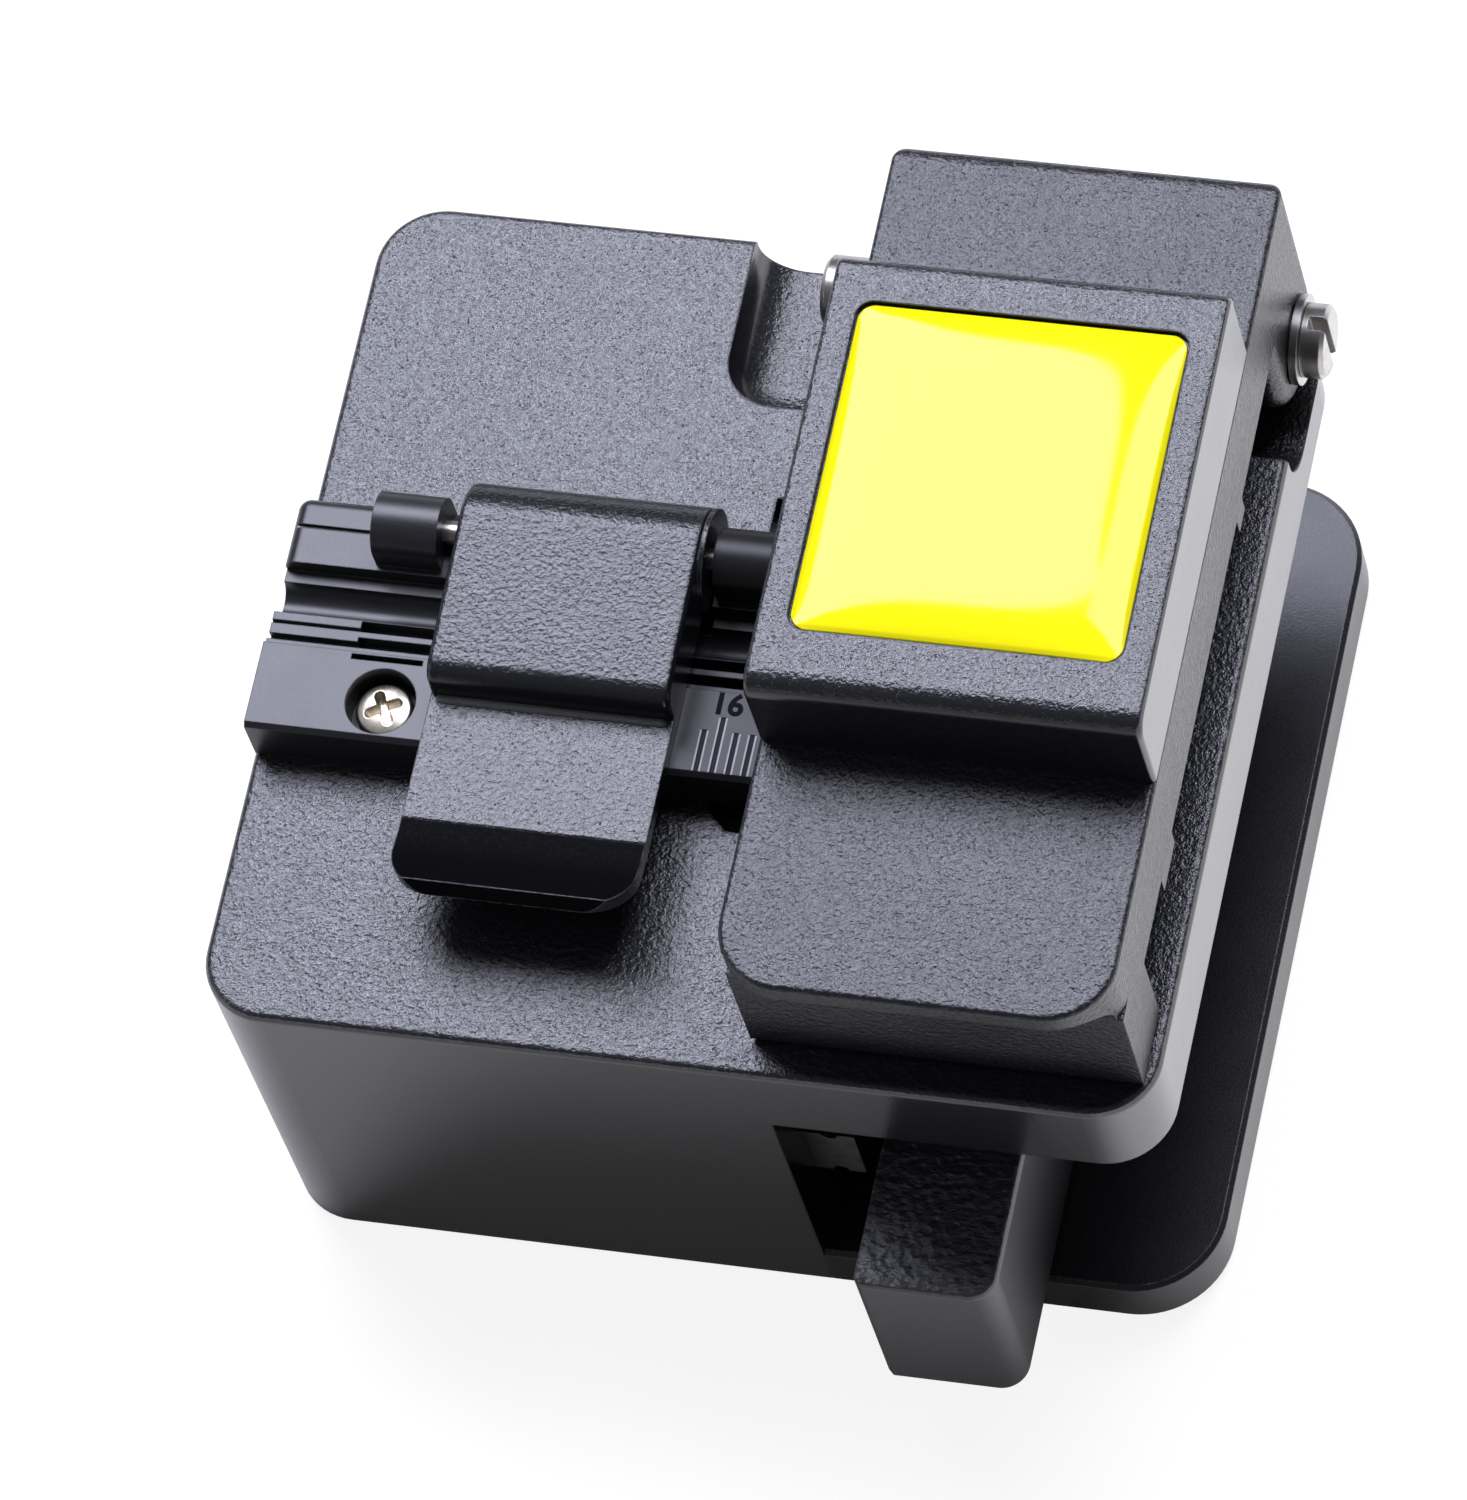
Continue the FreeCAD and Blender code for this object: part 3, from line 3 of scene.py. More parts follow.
import bpy
import numpy as np
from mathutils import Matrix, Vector


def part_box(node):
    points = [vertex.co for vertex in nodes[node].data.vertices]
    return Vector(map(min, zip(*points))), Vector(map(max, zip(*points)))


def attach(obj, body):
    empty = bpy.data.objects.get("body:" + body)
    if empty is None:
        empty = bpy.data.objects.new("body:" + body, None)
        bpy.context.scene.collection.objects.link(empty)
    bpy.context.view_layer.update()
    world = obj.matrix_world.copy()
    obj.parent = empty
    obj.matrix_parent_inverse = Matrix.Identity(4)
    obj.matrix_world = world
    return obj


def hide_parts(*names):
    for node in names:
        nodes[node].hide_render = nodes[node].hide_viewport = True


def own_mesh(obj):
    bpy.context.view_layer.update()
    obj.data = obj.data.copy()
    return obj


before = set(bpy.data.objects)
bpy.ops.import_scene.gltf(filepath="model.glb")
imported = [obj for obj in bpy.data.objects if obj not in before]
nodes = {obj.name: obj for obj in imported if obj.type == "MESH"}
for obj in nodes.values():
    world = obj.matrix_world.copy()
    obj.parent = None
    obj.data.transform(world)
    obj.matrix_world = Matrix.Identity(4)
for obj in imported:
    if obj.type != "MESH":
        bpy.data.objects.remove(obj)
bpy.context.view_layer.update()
mm = 0.001
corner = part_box("housing")[0]
print("frame loaded")


def at(x, y, z):
    # a place in millimetres from the housing's left front lower corner, in the row frame
    return corner + Vector((x, y, z)) * mm


class Wire:
    # one output of a graph: arithmetic on wires adds Math nodes
    def __init__(self, graph, socket):
        self.graph = graph
        self.socket = socket

    def math(self, operation, *values):
        return self.graph.node("Math", {"operation": operation}, dict(enumerate(values)))

    def __add__(self, other):
        return self.math("ADD", self, other)

    def __sub__(self, other):
        return self.math("SUBTRACT", self, other)

    def __rsub__(self, other):
        return self.math("SUBTRACT", other, self)

    def __mul__(self, other):
        return self.math("MULTIPLY", self, other)

    __radd__ = __add__
    __rmul__ = __mul__

    def rise(self, low, high):
        # 0 below low, 1 above high, smooth between
        sockets = {"Value": self, "From Min": low, "From Max": high}
        return self.graph.node("MapRange", {"interpolation_type": "SMOOTHSTEP"}, sockets)

    def within(self, low, high, soft):
        # 1 between low and high, with soft ends
        return self.rise(low - soft, low + soft) * (1 - self.rise(high - soft, high + soft))


class Graph:
    # the graph of one material
    def __init__(self, name):
        self.material = bpy.data.materials.new(name)
        self.material.use_nodes = True
        self.tree = self.material.node_tree
        self.tree.nodes.clear()

    def node(self, kind, settings=None, sockets=None, out=0):
        made = self.tree.nodes.new("ShaderNode" + kind)
        for key, setting in (settings or {}).items():
            setattr(made, key, setting)
        for key, given in (sockets or {}).items():
            if isinstance(given, Wire):
                self.tree.links.new(given.socket, made.inputs[key])
            else:
                made.inputs[key].default_value = given
        return Wire(self, made.outputs[out]) if made.outputs else made

    def where(self):
        return self.node("TexCoord", out=3)

    def axes(self, vector):
        split = self.node("SeparateXYZ", sockets={0: vector})
        return [Wire(self, split.socket.node.outputs[index]) for index in range(3)]

    def facing(self):
        # the face's own direction, before any pose
        return self.axes(self.node("TexCoord", out=1))

    def blend(self, mask, first, second):
        first, second = [c if isinstance(c, Wire) else (*c, 1) for c in (first, second)]
        return self.node("Mix", {"data_type": "RGBA"}, {0: mask, 6: first, 7: second}, out=2)

    def scaled(self, size, stretch=(1, 1, 1)):
        # coordinates that grow by one every size millimetres
        scale = [share / (size * mm) for share in stretch]
        return self.node("Mapping", sockets={"Vector": self.where(), "Scale": scale})

    def noise(self, size, detail=2, roughness=0.5, stretch=(1, 1, 1)):
        # noise whose spots are about size millimetres across
        place = self.scaled(size, stretch)
        sockets = {"Vector": place, "Scale": 1, "Detail": detail, "Roughness": roughness}
        return self.node("TexNoise", {}, sockets)

    def cells(self, size, feature="F1"):
        # how far a point lies from the middle of its cell, cells being about size millimetres across
        return self.node("TexVoronoi", {"feature": feature}, {"Vector": self.scaled(size), "Scale": 1})

    def edges(self, radius):
        # the softened normal, and how close a point lies to an outer or inner edge
        soft = self.node("Bevel", {"samples": 5}, {"Radius": radius * mm})
        flat = self.node("NewGeometry", out=1)
        alike = self.node("VectorMath", {"operation": "DOT_PRODUCT"}, {0: soft, 1: flat}, out=1)
        return soft, (1 - alike).rise(0.015, 0.16)

    def bump(self, height, depth, normal=None):
        sockets = {"Height": height, "Distance": depth * mm, "Strength": 1.0}
        if normal:
            sockets["Normal"] = normal
        return self.node("Bump", sockets=sockets)

    def shader(self, **sockets):
        # a Principled shader; an underscore in a keyword stands for a space
        named = {key.replace("_", " "): given for key, given in sockets.items()}
        if not isinstance(named["Base Color"], Wire):
            named["Base Color"] = (*named["Base Color"], 1)
        return self.node("BsdfPrincipled", sockets=named)

    def over(self, mask, first, second):
        return self.node("MixShader", sockets={0: mask, 1: first, 2: second})

    def done(self, shader):
        self.node("OutputMaterial", sockets={"Surface": shader})
        return self.material

    def finish(self, **sockets):
        return self.done(self.shader(**sockets))


def dress(material, *names):
    for name in names:
        slots = nodes[name].material_slots
        if not slots:
            nodes[name].data.materials.append(material)
        for place in slots:
            place.material = material


# powder coat of the housing, the lid and its cover
paintLook = {
    "base": (0.010, 0.0105, 0.014),
    # worn edge grey, also used to lighten the clamp lip's front faces as painted light
    "wornAndLit": (0.05, 0.05, 0.055),
    # edges rubbed bright, partly a painted highlight
    "rubbedAndHighlight": (0.14, 0.14, 0.145),
    "grain": 0.32,
    "fineShare": 0.42,
    "grainDepth": 0.085,
    "roughness": 0.2,
    "sideRoughness": 0.18,
    "pitPitch": 0.5,
    "pitEdge": (0.04, 0.17),
    "pitShare": 0.45,
    "mottle": 0.2,
    "mottleEdge": (0.34, 0.66),
    "specular": 0.79,
    "scuff": 0.7,
    "dullRoughness": 0.6,
    "dullSpecular": 0.15,
}


def orangePeel(graph, look, coarse):
    # wormy ripples with small round pits: height, share of dull paint, and the ripples alone
    ripple = graph.noise(look["grain"], 2, 0.55)
    fine = graph.noise(look["grain"] * look["fineShare"], 2, 0.6)
    pit = 1 - graph.cells(look["pitPitch"]).rise(*look["pitEdge"])
    mottle = 1 - (ripple * 0.4 + fine * 0.6).rise(*look["mottleEdge"])
    matte = pit * look["pitShare"] + mottle * look["mottle"]
    return (ripple + fine * 0.35 - pit * 0.2) * coarse, matte * coarse, ripple


def paint(name, look, smoothSides=0.9, radius=0.25, sideDull=0.0, topShine=1.0):
    # near-black gloss powder coat: rippled where it faces up, smoother on upright faces
    graph = Graph(name)
    upward = graph.facing()[2].rise(0.5, 0.85)
    coarse = 1 - smoothSides * (1 - upward)
    height, matte, ripple = orangePeel(graph, look, coarse)
    cloud = graph.noise(9, 3, 0.55)
    scuff = graph.noise(look["scuff"], 4, 0.7)
    soft, rim = graph.edges(radius)
    colour = graph.blend(rim * scuff.rise(0.35, 0.7) * 0.6, look["base"], look["wornAndLit"])
    rough = coarse * (look["roughness"] - look["sideRoughness"]) + look["sideRoughness"]
    rough = rough + ripple * 0.05 + cloud * 0.05
    normal = graph.bump(height, look["grainDepth"], soft)
    gloss = graph.shader(
        Base_Color=colour, Roughness=rough, Specular_IOR_Level=look["specular"] * topShine, Normal=normal,
    )
    dull = graph.shader(
        Base_Color=look["base"], Roughness=look["dullRoughness"], Specular_IOR_Level=look["dullSpecular"],
        Normal=normal,
    )
    return graph.done(graph.over(matte + (1 - upward) * sideDull, gloss, dull))


def smoothBlack(
    name, base, light, roughness, rubbedAndHighlightColour, rubbedAndHighlightAmount, grain=0.12, depth=0.006, radius=0.12, specular=0.5,
):
    # anodised or moulded black: fine even grain, edges rubbed bright, the bright edge partly a painted
    # highlight
    graph = Graph(name)
    fine = graph.noise(grain, 2, 0.5)
    cloud = graph.noise(4, 3, 0.6)
    soft, rim = graph.edges(radius)
    scuff = graph.noise(0.8, 4, 0.7)
    colour = graph.blend(fine.rise(0.25, 0.8) * 0.7 + cloud * 0.3, base, light)
    colour = graph.blend(rim * scuff.rise(0.3, 0.62) * rubbedAndHighlightAmount, colour, rubbedAndHighlightColour)
    rough = roughness + fine * 0.1 + cloud * 0.08 - rim * 0.08
    return graph.finish(
        Base_Color=colour, Roughness=rough, Specular_IOR_Level=specular,
        Normal=graph.bump(fine + scuff * 0.4, depth, soft),
    )


def metal(name, base, dull, roughness, grain=0.2, stretch=(1, 1, 1), depth=0.004, radius=0.1):
    # plated or turned metal with faint tool marks and dull specks
    graph = Graph(name)
    marks = graph.noise(grain, 3, 0.6, stretch)
    spots = graph.noise(1.1, 4, 0.65)
    soft, rim = graph.edges(radius)
    colour = graph.blend(spots.rise(0.45, 0.75) * 0.55 + marks * 0.25, base, dull)
    rough = roughness + marks * 0.14 + spots.rise(0.5, 0.8) * 0.12
    return graph.finish(
        Base_Color=colour, Metallic=1.0, Roughness=rough, Normal=graph.bump(marks, depth, soft),
    )


bodyPaint = paint("bodyPaint", paintLook)
coverPaint = paint("coverPaint", paintLook, smoothSides=0.95, radius=0.15, topShine=0.95)
leverPaint = paint("leverPaint", paintLook, smoothSides=0.1, radius=0.15, sideDull=0.25, topShine=0.72)
dress(bodyPaint, "housing")
dress(coverPaint, "lid_cover")
dress(leverPaint, "lid_lever")


# clamp: rippled top and plate, smooth finger lip in front of the fold, its top painted near black as
# painted shade and its front faces lightened as painted light
clampLook = {
    "fold": 12.1,
    "foldSoft": 0.12,
    "depthShare": 0.7,
    "shine": 0.78,
    "lipRoughness": 0.2,
    "lipPaintedShade": (0.003, 0.003, 0.0035),
    "lipShadeShare": 0.99,
}


def clampPaint(look, clamp):
    graph = Graph("clampPaint")
    fold, width = at(0, clamp["fold"], 0).y, clamp["foldSoft"] * mm
    lip = 1 - graph.axes(graph.where())[1].rise(fold - width, fold + width)
    upward = graph.facing()[2].rise(0.5, 0.85) * (1 - lip)
    coarse = upward * 0.9 + 0.1
    height, matte, ripple = orangePeel(graph, look, coarse)
    scuff = graph.noise(look["scuff"], 4, 0.7)
    soft, rim = graph.edges(0.15)
    above = graph.facing()[2].rise(0.2, 0.5)
    # painted light: the lip's front faces are lightened toward the worn grey
    colour = graph.blend(lip * (1 - above) * 0.6, look["base"], look["wornAndLit"])
    # edges rubbed bright, partly a painted highlight
    colour = graph.blend(rim * scuff.rise(0.3, 0.65) * (0.7 + 0.3 * lip), colour, look["rubbedAndHighlight"])
    rough = coarse * (look["roughness"] - clamp["lipRoughness"]) + clamp["lipRoughness"] + ripple * 0.05
    normal = graph.bump(height, look["grainDepth"] * clamp["depthShare"], soft)
    gloss = graph.shader(
        Base_Color=colour, Roughness=rough, Specular_IOR_Level=look["specular"] * clamp["shine"],
        Normal=normal,
    )
    # painted shade: the lip's top is mixed to near black with almost no gloss
    dull = graph.shader(Base_Color=clamp["lipPaintedShade"], Roughness=0.4, Specular_IOR_Level=0.01, Normal=normal)
    return graph.done(graph.over(matte + lip * above * (1 - rim) * clamp["lipShadeShare"], gloss, dull))


dress(clampPaint(paintLook, clampLook), "holder_clamp")


# carriage: coarse leathery top, satin front and sides
carriageLook = {
    "fine": 0.2,
    "hammer": 0.55,
    "wrinkle": 0.7,
    "depth": 0.16,
    "roughness": 0.36,
    "specular": 1.0,
}


def carriagePaint(look, leatherLook):
    graph = Graph("carriagePaint")
    upward = graph.facing()[2].rise(0.5, 0.85)
    fine = graph.noise(leatherLook["fine"], 2, 0.5)
    hammer = graph.cells(leatherLook["hammer"], "SMOOTH_F1")
    wrinkle = graph.noise(leatherLook["wrinkle"], 3, 0.6, (1, 1.7, 1))
    soft, rim = graph.edges(0.3)
    leather = (hammer * 0.9 + wrinkle * 0.8) * (upward * 0.95 + 0.05)
    return graph.finish(
        Base_Color=graph.blend(rim * (0.2 + 0.4 * fine), look["base"], look["wornAndLit"]),
        Roughness=leatherLook["roughness"] + fine * 0.1,
        Specular_IOR_Level=leatherLook["specular"],
        Normal=graph.bump(leather + fine * 0.08, leatherLook["depth"], soft),
    )


dress(carriagePaint(paintLook, carriageLook), "slider_carriage")


# plain blacks, metals and rubbers
plateBlack = smoothBlack(
    "plateBlack", (0.009, 0.009, 0.011), (0.017, 0.017, 0.020), 0.2, (0.5, 0.5, 0.5), 0.6,
    grain=0.16, depth=0.008, specular=0.36,
)
dress(plateBlack, "base_plate")
satinBlack = smoothBlack(
    "satinBlack", (0.010, 0.010, 0.012), (0.022, 0.022, 0.025), 0.28, (0.30, 0.30, 0.32), 0.75, radius=0.1,
)
dress(satinBlack, "upper_clamp_frame", "lower_clamp_left", "lower_clamp_right", "blade_holder")
dress(satinBlack, "pressure_block_left", "pressure_block_right")
steel = metal(
    "brightSteel", (0.40, 0.385, 0.37), (0.24, 0.225, 0.21), 0.24,
    grain=0.12, stretch=(6, 1, 1), depth=0.0015,
)
dress(steel, "hinge_shaft", "holder_hinge_pin", "circlip_left", "circlip_right", "blade_axle")
magnetNickel = metal("magnetNickel", (0.60, 0.58, 0.55), (0.42, 0.40, 0.37), 0.16, grain=0.3)
dress(magnetNickel, "housing_magnet", "lid_magnet", "holder_magnet", "clamp_magnet")
carbide = metal("carbide", (0.34, 0.34, 0.36), (0.22, 0.22, 0.24), 0.18, grain=0.06, stretch=(1, 1, 5))
dress(carbide, "blade")
brass = metal("brass", (0.75, 0.55, 0.27), (0.46, 0.31, 0.13), 0.24, grain=0.1)
dress(brass, "blade_hub")
# dark steel: black oxide on the guide block, and on the rail a painted shade of the channel it sits in
oxideAndShadeSteel = metal(
    "oxideAndShadeSteel", (0.16, 0.16, 0.165), (0.07, 0.07, 0.075), 0.3, grain=0.12, stretch=(1, 0.2, 1),
)
dress(oxideAndShadeSteel, "guide_block", "linear_rail")


def rubber(name, base, light, specular=0.5):
    graph = Graph(name)
    fine = graph.noise(0.14, 3, 0.65)
    dust = graph.noise(1.6, 4, 0.7)
    soft, rim = graph.edges(0.2)
    colour = graph.blend(fine * 0.5 + dust.rise(0.45, 0.8) * 0.4, base, light)
    rough = 0.66 + fine * 0.16 - rim * 0.06
    normal = graph.bump(fine + dust * 0.5, 0.02, soft)
    return graph.finish(Base_Color=colour, Roughness=rough, Specular_IOR_Level=specular, Normal=normal)


footRubber = rubber("footRubber", (0.016, 0.016, 0.017), (0.05, 0.05, 0.052))
dress(footRubber, "foot_front_left", "foot_front_right", "foot_back_left", "foot_back_right")
clampRubber = rubber("clampRubber", (0.03, 0.03, 0.032), (0.075, 0.075, 0.08))
dress(clampRubber, "upper_pad_left", "upper_pad_right", "lower_pad_left", "lower_pad_right")
dress(clampRubber, "clamp_pad", "anvil")
print("finishes made")


def added(name, data):
    made = bpy.data.objects.new(name, data)
    bpy.context.scene.collection.objects.link(made)
    return made


def fitted(name, mesh, material, body):
    # a finished mesh as a piece of the object, riding on a body
    mesh.materials.append(material)
    piece = added(name, mesh)
    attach(piece, body)
    return piece


def surface(name, grids, material, body):
    # grids of points, each rows x columns x 3 in metres, joined around the columns and closed at both ends
    points, faces, start = [], [], 0
    for grid in grids:
        rows, columns = grid.shape[:2]
        index = np.arange(rows * columns).reshape(rows, columns) + start
        right = np.roll(index, -1, 1)
        quads = np.stack([index[:-1], right[:-1], right[1:], index[1:]], -1).reshape(-1, 4)
        points.append(grid.reshape(-1, 3))
        faces += quads.tolist()
        faces += [index[0, ::-1].tolist(), index[-1].tolist()]
        start += rows * columns
    mesh = bpy.data.meshes.new(name)
    mesh.from_pydata(np.concatenate(points).tolist(), [], faces)
    mesh.shade_smooth()
    return fitted(name, mesh, material, body)


# screws: pan head with a cross recess, threaded shank
screwSizes = {
    "big": {"head": 1.8, "height": 1.5, "shank": 1.2},
    "mid": {"head": 1.5, "height": 1.2, "shank": 0.9},
    "small": {"head": 1.1, "height": 0.8, "shank": 0.6},
}
screwLook = {
    "arm": 0.68,
    "armWidth": 0.18,
    "wall": 0.07,
    "turn": 28,
    "recess": 0.6,
    "crown": 0.22,
    "flat": 0.86,
    "rimDrop": 0.34,
    "pitch": 0.45,
    "threadDepth": 0.16,
}


def screwGrid(size, length, place, headTo, around=48, fine=14):
    # a profile turned about the axis: crowned head, rounded rim, seat, shank, point
    head, height, shank = size["head"], size["height"], size["shank"]
    crown, flat = height * screwLook["crown"], screwLook["flat"]
    top = np.linspace(0.02, flat, fine)
    bend = np.linspace(0.15, 1, 6) * math.pi / 2
    radii = np.concatenate([
        top * head, head * (flat + (1 - flat) * np.sin(bend)), [head, shank],
        np.full(24, shank), [shank * 0.6, 0.02 * shank],
    ])
    rimLow = height - crown * flat ** 2
    levels = np.concatenate([
        height - crown * top ** 2, rimLow - screwLook["rimDrop"] * height * (1 - np.cos(bend)), [0, 0],
        np.linspace(-0.02, 0.35 * shank - length, 24), [-length, -length],
    ])
    turn = np.linspace(0, math.tau, around, endpoint=False)
    radius = radii[:, None] * np.ones(around)
    level = levels[:, None] * np.ones(around)
    # thread: a ridge that climbs one pitch per turn, kept inside the shank
    onShank = (levels < -0.01) & (levels > -length + 0.01)
    ridge = np.abs(((level / screwLook["pitch"] + turn / math.tau) % 1) - 0.5) * 2
    radius = np.where(onShank[:, None], radius * (1 - screwLook["threadDepth"] * ridge), radius)
    x, y = radius * np.cos(turn), radius * np.sin(turn)
    # cross recess: two arms at right angles, each with steep walls and a rounded end
    arm, wide, wall = [screwLook[key] * head for key in ("arm", "armWidth", "wall")]
    tilt = math.radians(screwLook["turn"])
    along = x * math.cos(tilt) + y * math.sin(tilt)
    aside = y * math.cos(tilt) - x * math.sin(tilt)
    armDepth = [
        np.clip((wide - np.hypot(np.maximum(np.abs(a) - arm + wide, 0), b)) / wall, 0, 1)
        for a, b in ((along, aside), (aside, along))
    ]
    onTop = (levels > rimLow - 0.01)[:, None]
    level = level - np.where(onTop, screwLook["recess"] * height * np.maximum(*armDepth), 0)
    local = np.stack([x, y, level], -1) * mm
    if headTo == "down":
        local = local * (1, -1, -1)
    elif headTo == "right":
        local = local[..., [2, 1, 0]] * (1, -1, 1)
    return local + np.array(place)


# node: size, columns and rows of the group, shank length, side of the head, body, slot,
# points around, rings on the crown
screwGroups = {
    "holder_screws": ("big", 2, 1, 5.0, "up", "housing", "screw_nickel", 160, 70),
    "base_screws": ("big", 2, 2, 6.0, "down", "housing", "black_oxide", 64, 20),
    "rail_screws": ("mid", 3, 1, 6.0, "right", "housing", "black_oxide", 40, 12),
    "carriage_screws": ("mid", 2, 2, 4.5, "right", "slider", "black_oxide", 40, 12),
    "blade_holder_screws": ("small", 1, 2, 4.5, "up", "slider", "black_oxide", 40, 12),
    "lower_clamp_screws": ("small", 2, 2, 4.0, "up", "housing", "black_oxide", 40, 12),
    "frame_screws": ("small", 1, 2, 3.5, "down", "lid", "black_oxide", 40, 12),
    "cover_screws": ("mid", 2, 2, 7.0, "down", "lid", "black_oxide", 40, 12),
}
screwNickel = metal("screwNickel", (0.62, 0.58, 0.49), (0.42, 0.36, 0.26), 0.22, grain=0.25, depth=0.0012)
blackOxide = metal("blackOxide", (0.07, 0.07, 0.075), (0.035, 0.035, 0.04), 0.34, grain=0.12)
screwFinish = {"screw_nickel": screwNickel, "black_oxide": blackOxide}


def spread(low, high, count, inset):
    return np.linspace(low + inset, high - inset, count) if count > 1 else [(low + high) / 2]


for node, (kind, across, along, length, headTo, body, slot, around, rings) in screwGroups.items():
    low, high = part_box(node)
    size = screwSizes[kind]
    inset = size["head"] * mm
    if headTo == "right":
        seat = high.x - size["height"] * mm
        columns, rows = spread(low.y, high.y, across, inset), spread(low.z, high.z, along, inset)
        places = [(seat, y, z) for y in columns for z in rows]
    else:
        seat = high.z - size["height"] * mm if headTo == "up" else low.z + size["height"] * mm
        columns, rows = spread(low.x, high.x, across, inset), spread(low.y, high.y, along, inset)
        places = [(x, y, seat) for x in columns for y in rows]
    grids = [screwGrid(size, length, place, headTo, around, rings) for place in places]
    screwPiece = surface(node.replace("_screws", "Screws"), grids, screwFinish[slot], body)
    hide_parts(node)
print("screws made")


# springs: a round wire wound about an upright axis
springLook = {"wire": 0.2, "coil": 1.2, "turns": 3, "travel": 0.8}


def coilGrid(low, high, look):
    # a circle of the wire's radius, carried along a helix from the box's floor to its top
    wire = look["wire"] * mm
    turn = np.linspace(0, math.tau * look["turns"], 48 * look["turns"])
    climb = np.linspace(low.z + wire, high.z - wire, turn.size)
    section = np.linspace(0, math.tau, 12, endpoint=False)
    outward = np.stack([np.cos(turn), np.sin(turn), 0 * turn], -1)
    centre = np.array([(low.x + high.x) / 2, (low.y + high.y) / 2, 0])
    path = centre + outward * look["coil"] * mm + np.stack([0 * turn, 0 * turn, climb], -1)
    up = np.array([0, 0, 1.0])
    return path[:, None] + wire * (
        outward[:, None] * np.cos(section)[None, :, None] + up * np.sin(section)[None, :, None]
    )


springSteel = metal("springSteel", (0.55, 0.54, 0.52), (0.30, 0.29, 0.28), 0.22, grain=0.08)
springJoints = {
    "spring_left": "left_block_press",
    "spring_right": "right_block_press",
    "spring_anvil": "anvil_press",
}
for node, joint in springJoints.items():
    low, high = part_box(node)
    grid = coilGrid(low, high, springLook)
    spring = surface(node.replace("_", "") + "Wire", [grid], springSteel, "lid")
    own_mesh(spring)
    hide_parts(node)


# label: a clear dome over yellow, thick in the middle and curling down at its rim
labelLook = {
    "corner": 1.1,
    "yellow": (0.93, 0.86, 0.005),
    "deep": (0.66, 0.56, 0.004),
    "rim": 0.2,
    "power": 4.0,
    "bulge": 0.6,
    "roughness": 0.6,
    "coat": 0.55,
    "coatRoughness": 0.08,
}


def roundedOutline(half, radius, count):
    # a rounded rectangle about the origin: an arc at each corner, then a straight run to the next one
    corners = ((1, 1), (-1, 1), (-1, -1), (1, -1))
    straight = half - radius
    steps = []
    for index, side in enumerate(corners):
        bend = np.linspace(index, index + 1, count) * math.pi / 2
        arc = np.stack([np.cos(bend), np.sin(bend)], -1) * radius + straight * side
        outward = np.round([math.cos(bend[-1]), math.sin(bend[-1])])
        end = straight * corners[(index + 1) % 4] + radius * outward
        run = arc[-1] + (end - arc[-1]) * np.linspace(0, 1, count + 2)[1:-1, None]
        steps += [arc, run]
    return np.concatenate(steps)


def labelGrid(low, high, look, rings=46, count=32):
    # rings shrink from a rounded rectangle to its centre; height is (1 - |u|^power)(1 - |v|^power),
    # flattened by a second power, where u and v run from -1 to 1 across the label and along it
    half = np.array([(high.x - low.x) / 2, (high.y - low.y) / 2])
    outline = roundedOutline(half, look["corner"] * mm, count)
    shrink = 1 - np.linspace(0, 1, rings)[:, None] ** 1.6 * 0.985
    shrink = np.concatenate([[[1.0]], shrink])
    flat = outline[None] * shrink[:, :, None]
    rimLevel = low.z + look["rim"] * mm
    across, along = np.abs(flat[..., 0]) / half[0], np.abs(flat[..., 1]) / half[1]
    dome = ((1 - across ** look["power"]) * (1 - along ** look["power"])).clip(0, 1) ** look["bulge"]
    level = rimLevel + (high.z - rimLevel) * dome
    level[0] = low.z
    centre = np.array([(low.x + high.x) / 2, (low.y + high.y) / 2])
    return np.concatenate([flat + centre, level[..., None]], -1)


def labelFinish(look, low, high):
    # yellow under a clear coat, a little deeper in a line along the rim
    graph = Graph("labelYellow")
    x, y, z = graph.axes(graph.where())
    left, right = x - low.x, high.x - x
    front, back = y - low.y, high.y - y
    nearest = left.math("MINIMUM", left.math("MINIMUM", left, right), front.math("MINIMUM", front, back))
    speckle = graph.noise(0.2, 2, 0.5)
    haze = graph.noise(5, 2, 0.5)
    line = nearest.within(0.1 * mm, 0.3 * mm, 0.1 * mm)
    colour = graph.blend(haze.rise(0.3, 0.8) * 0.1 + speckle * 0.05, look["yellow"], look["deep"])
    return graph.finish(
        Base_Color=graph.blend(line * 0.6, colour, look["deep"]),
        Roughness=look["roughness"] + speckle * 0.06,
        Specular_IOR_Level=0.0,
        Coat_Weight=look["coat"],
        Coat_Roughness=look["coatRoughness"],
        Coat_IOR=1.5,
        Normal=graph.bump(haze, 0.004),
    )


low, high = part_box("label")
labelYellow = labelFinish(labelLook, low, high)
labelDome = surface("labelDome", [labelGrid(low, high, labelLook)], labelYellow, "lid")
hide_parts("label")
print("label made")


# bead at the foot of the clamp's step: a round bar with domed ends, half sunk in the plate, coloured light
# grey as a painted highlight
beadLook = {"radius": 0.3, "inset": 0.35, "line": 20.15, "height": 33.98}


def barGrid(start, end, radius, around=20, cap=6):
    # stations along X whose radius grows and shrinks as a quarter circle at each end
    bend = np.linspace(0.05, 1, cap) * math.pi / 2
    along = np.concatenate([
        start.x + radius * (1 - np.cos(bend)), end.x - radius * (1 - np.cos(bend[::-1])),
    ])
    size = radius * np.concatenate([np.sin(bend), np.sin(bend[::-1])])
    turn = np.linspace(0, math.tau, around, endpoint=False)
    y = start.y + size[:, None] * np.cos(turn)
    z = start.z + size[:, None] * np.sin(turn)
    return np.stack([along[:, None] + 0 * y, y, z], -1)


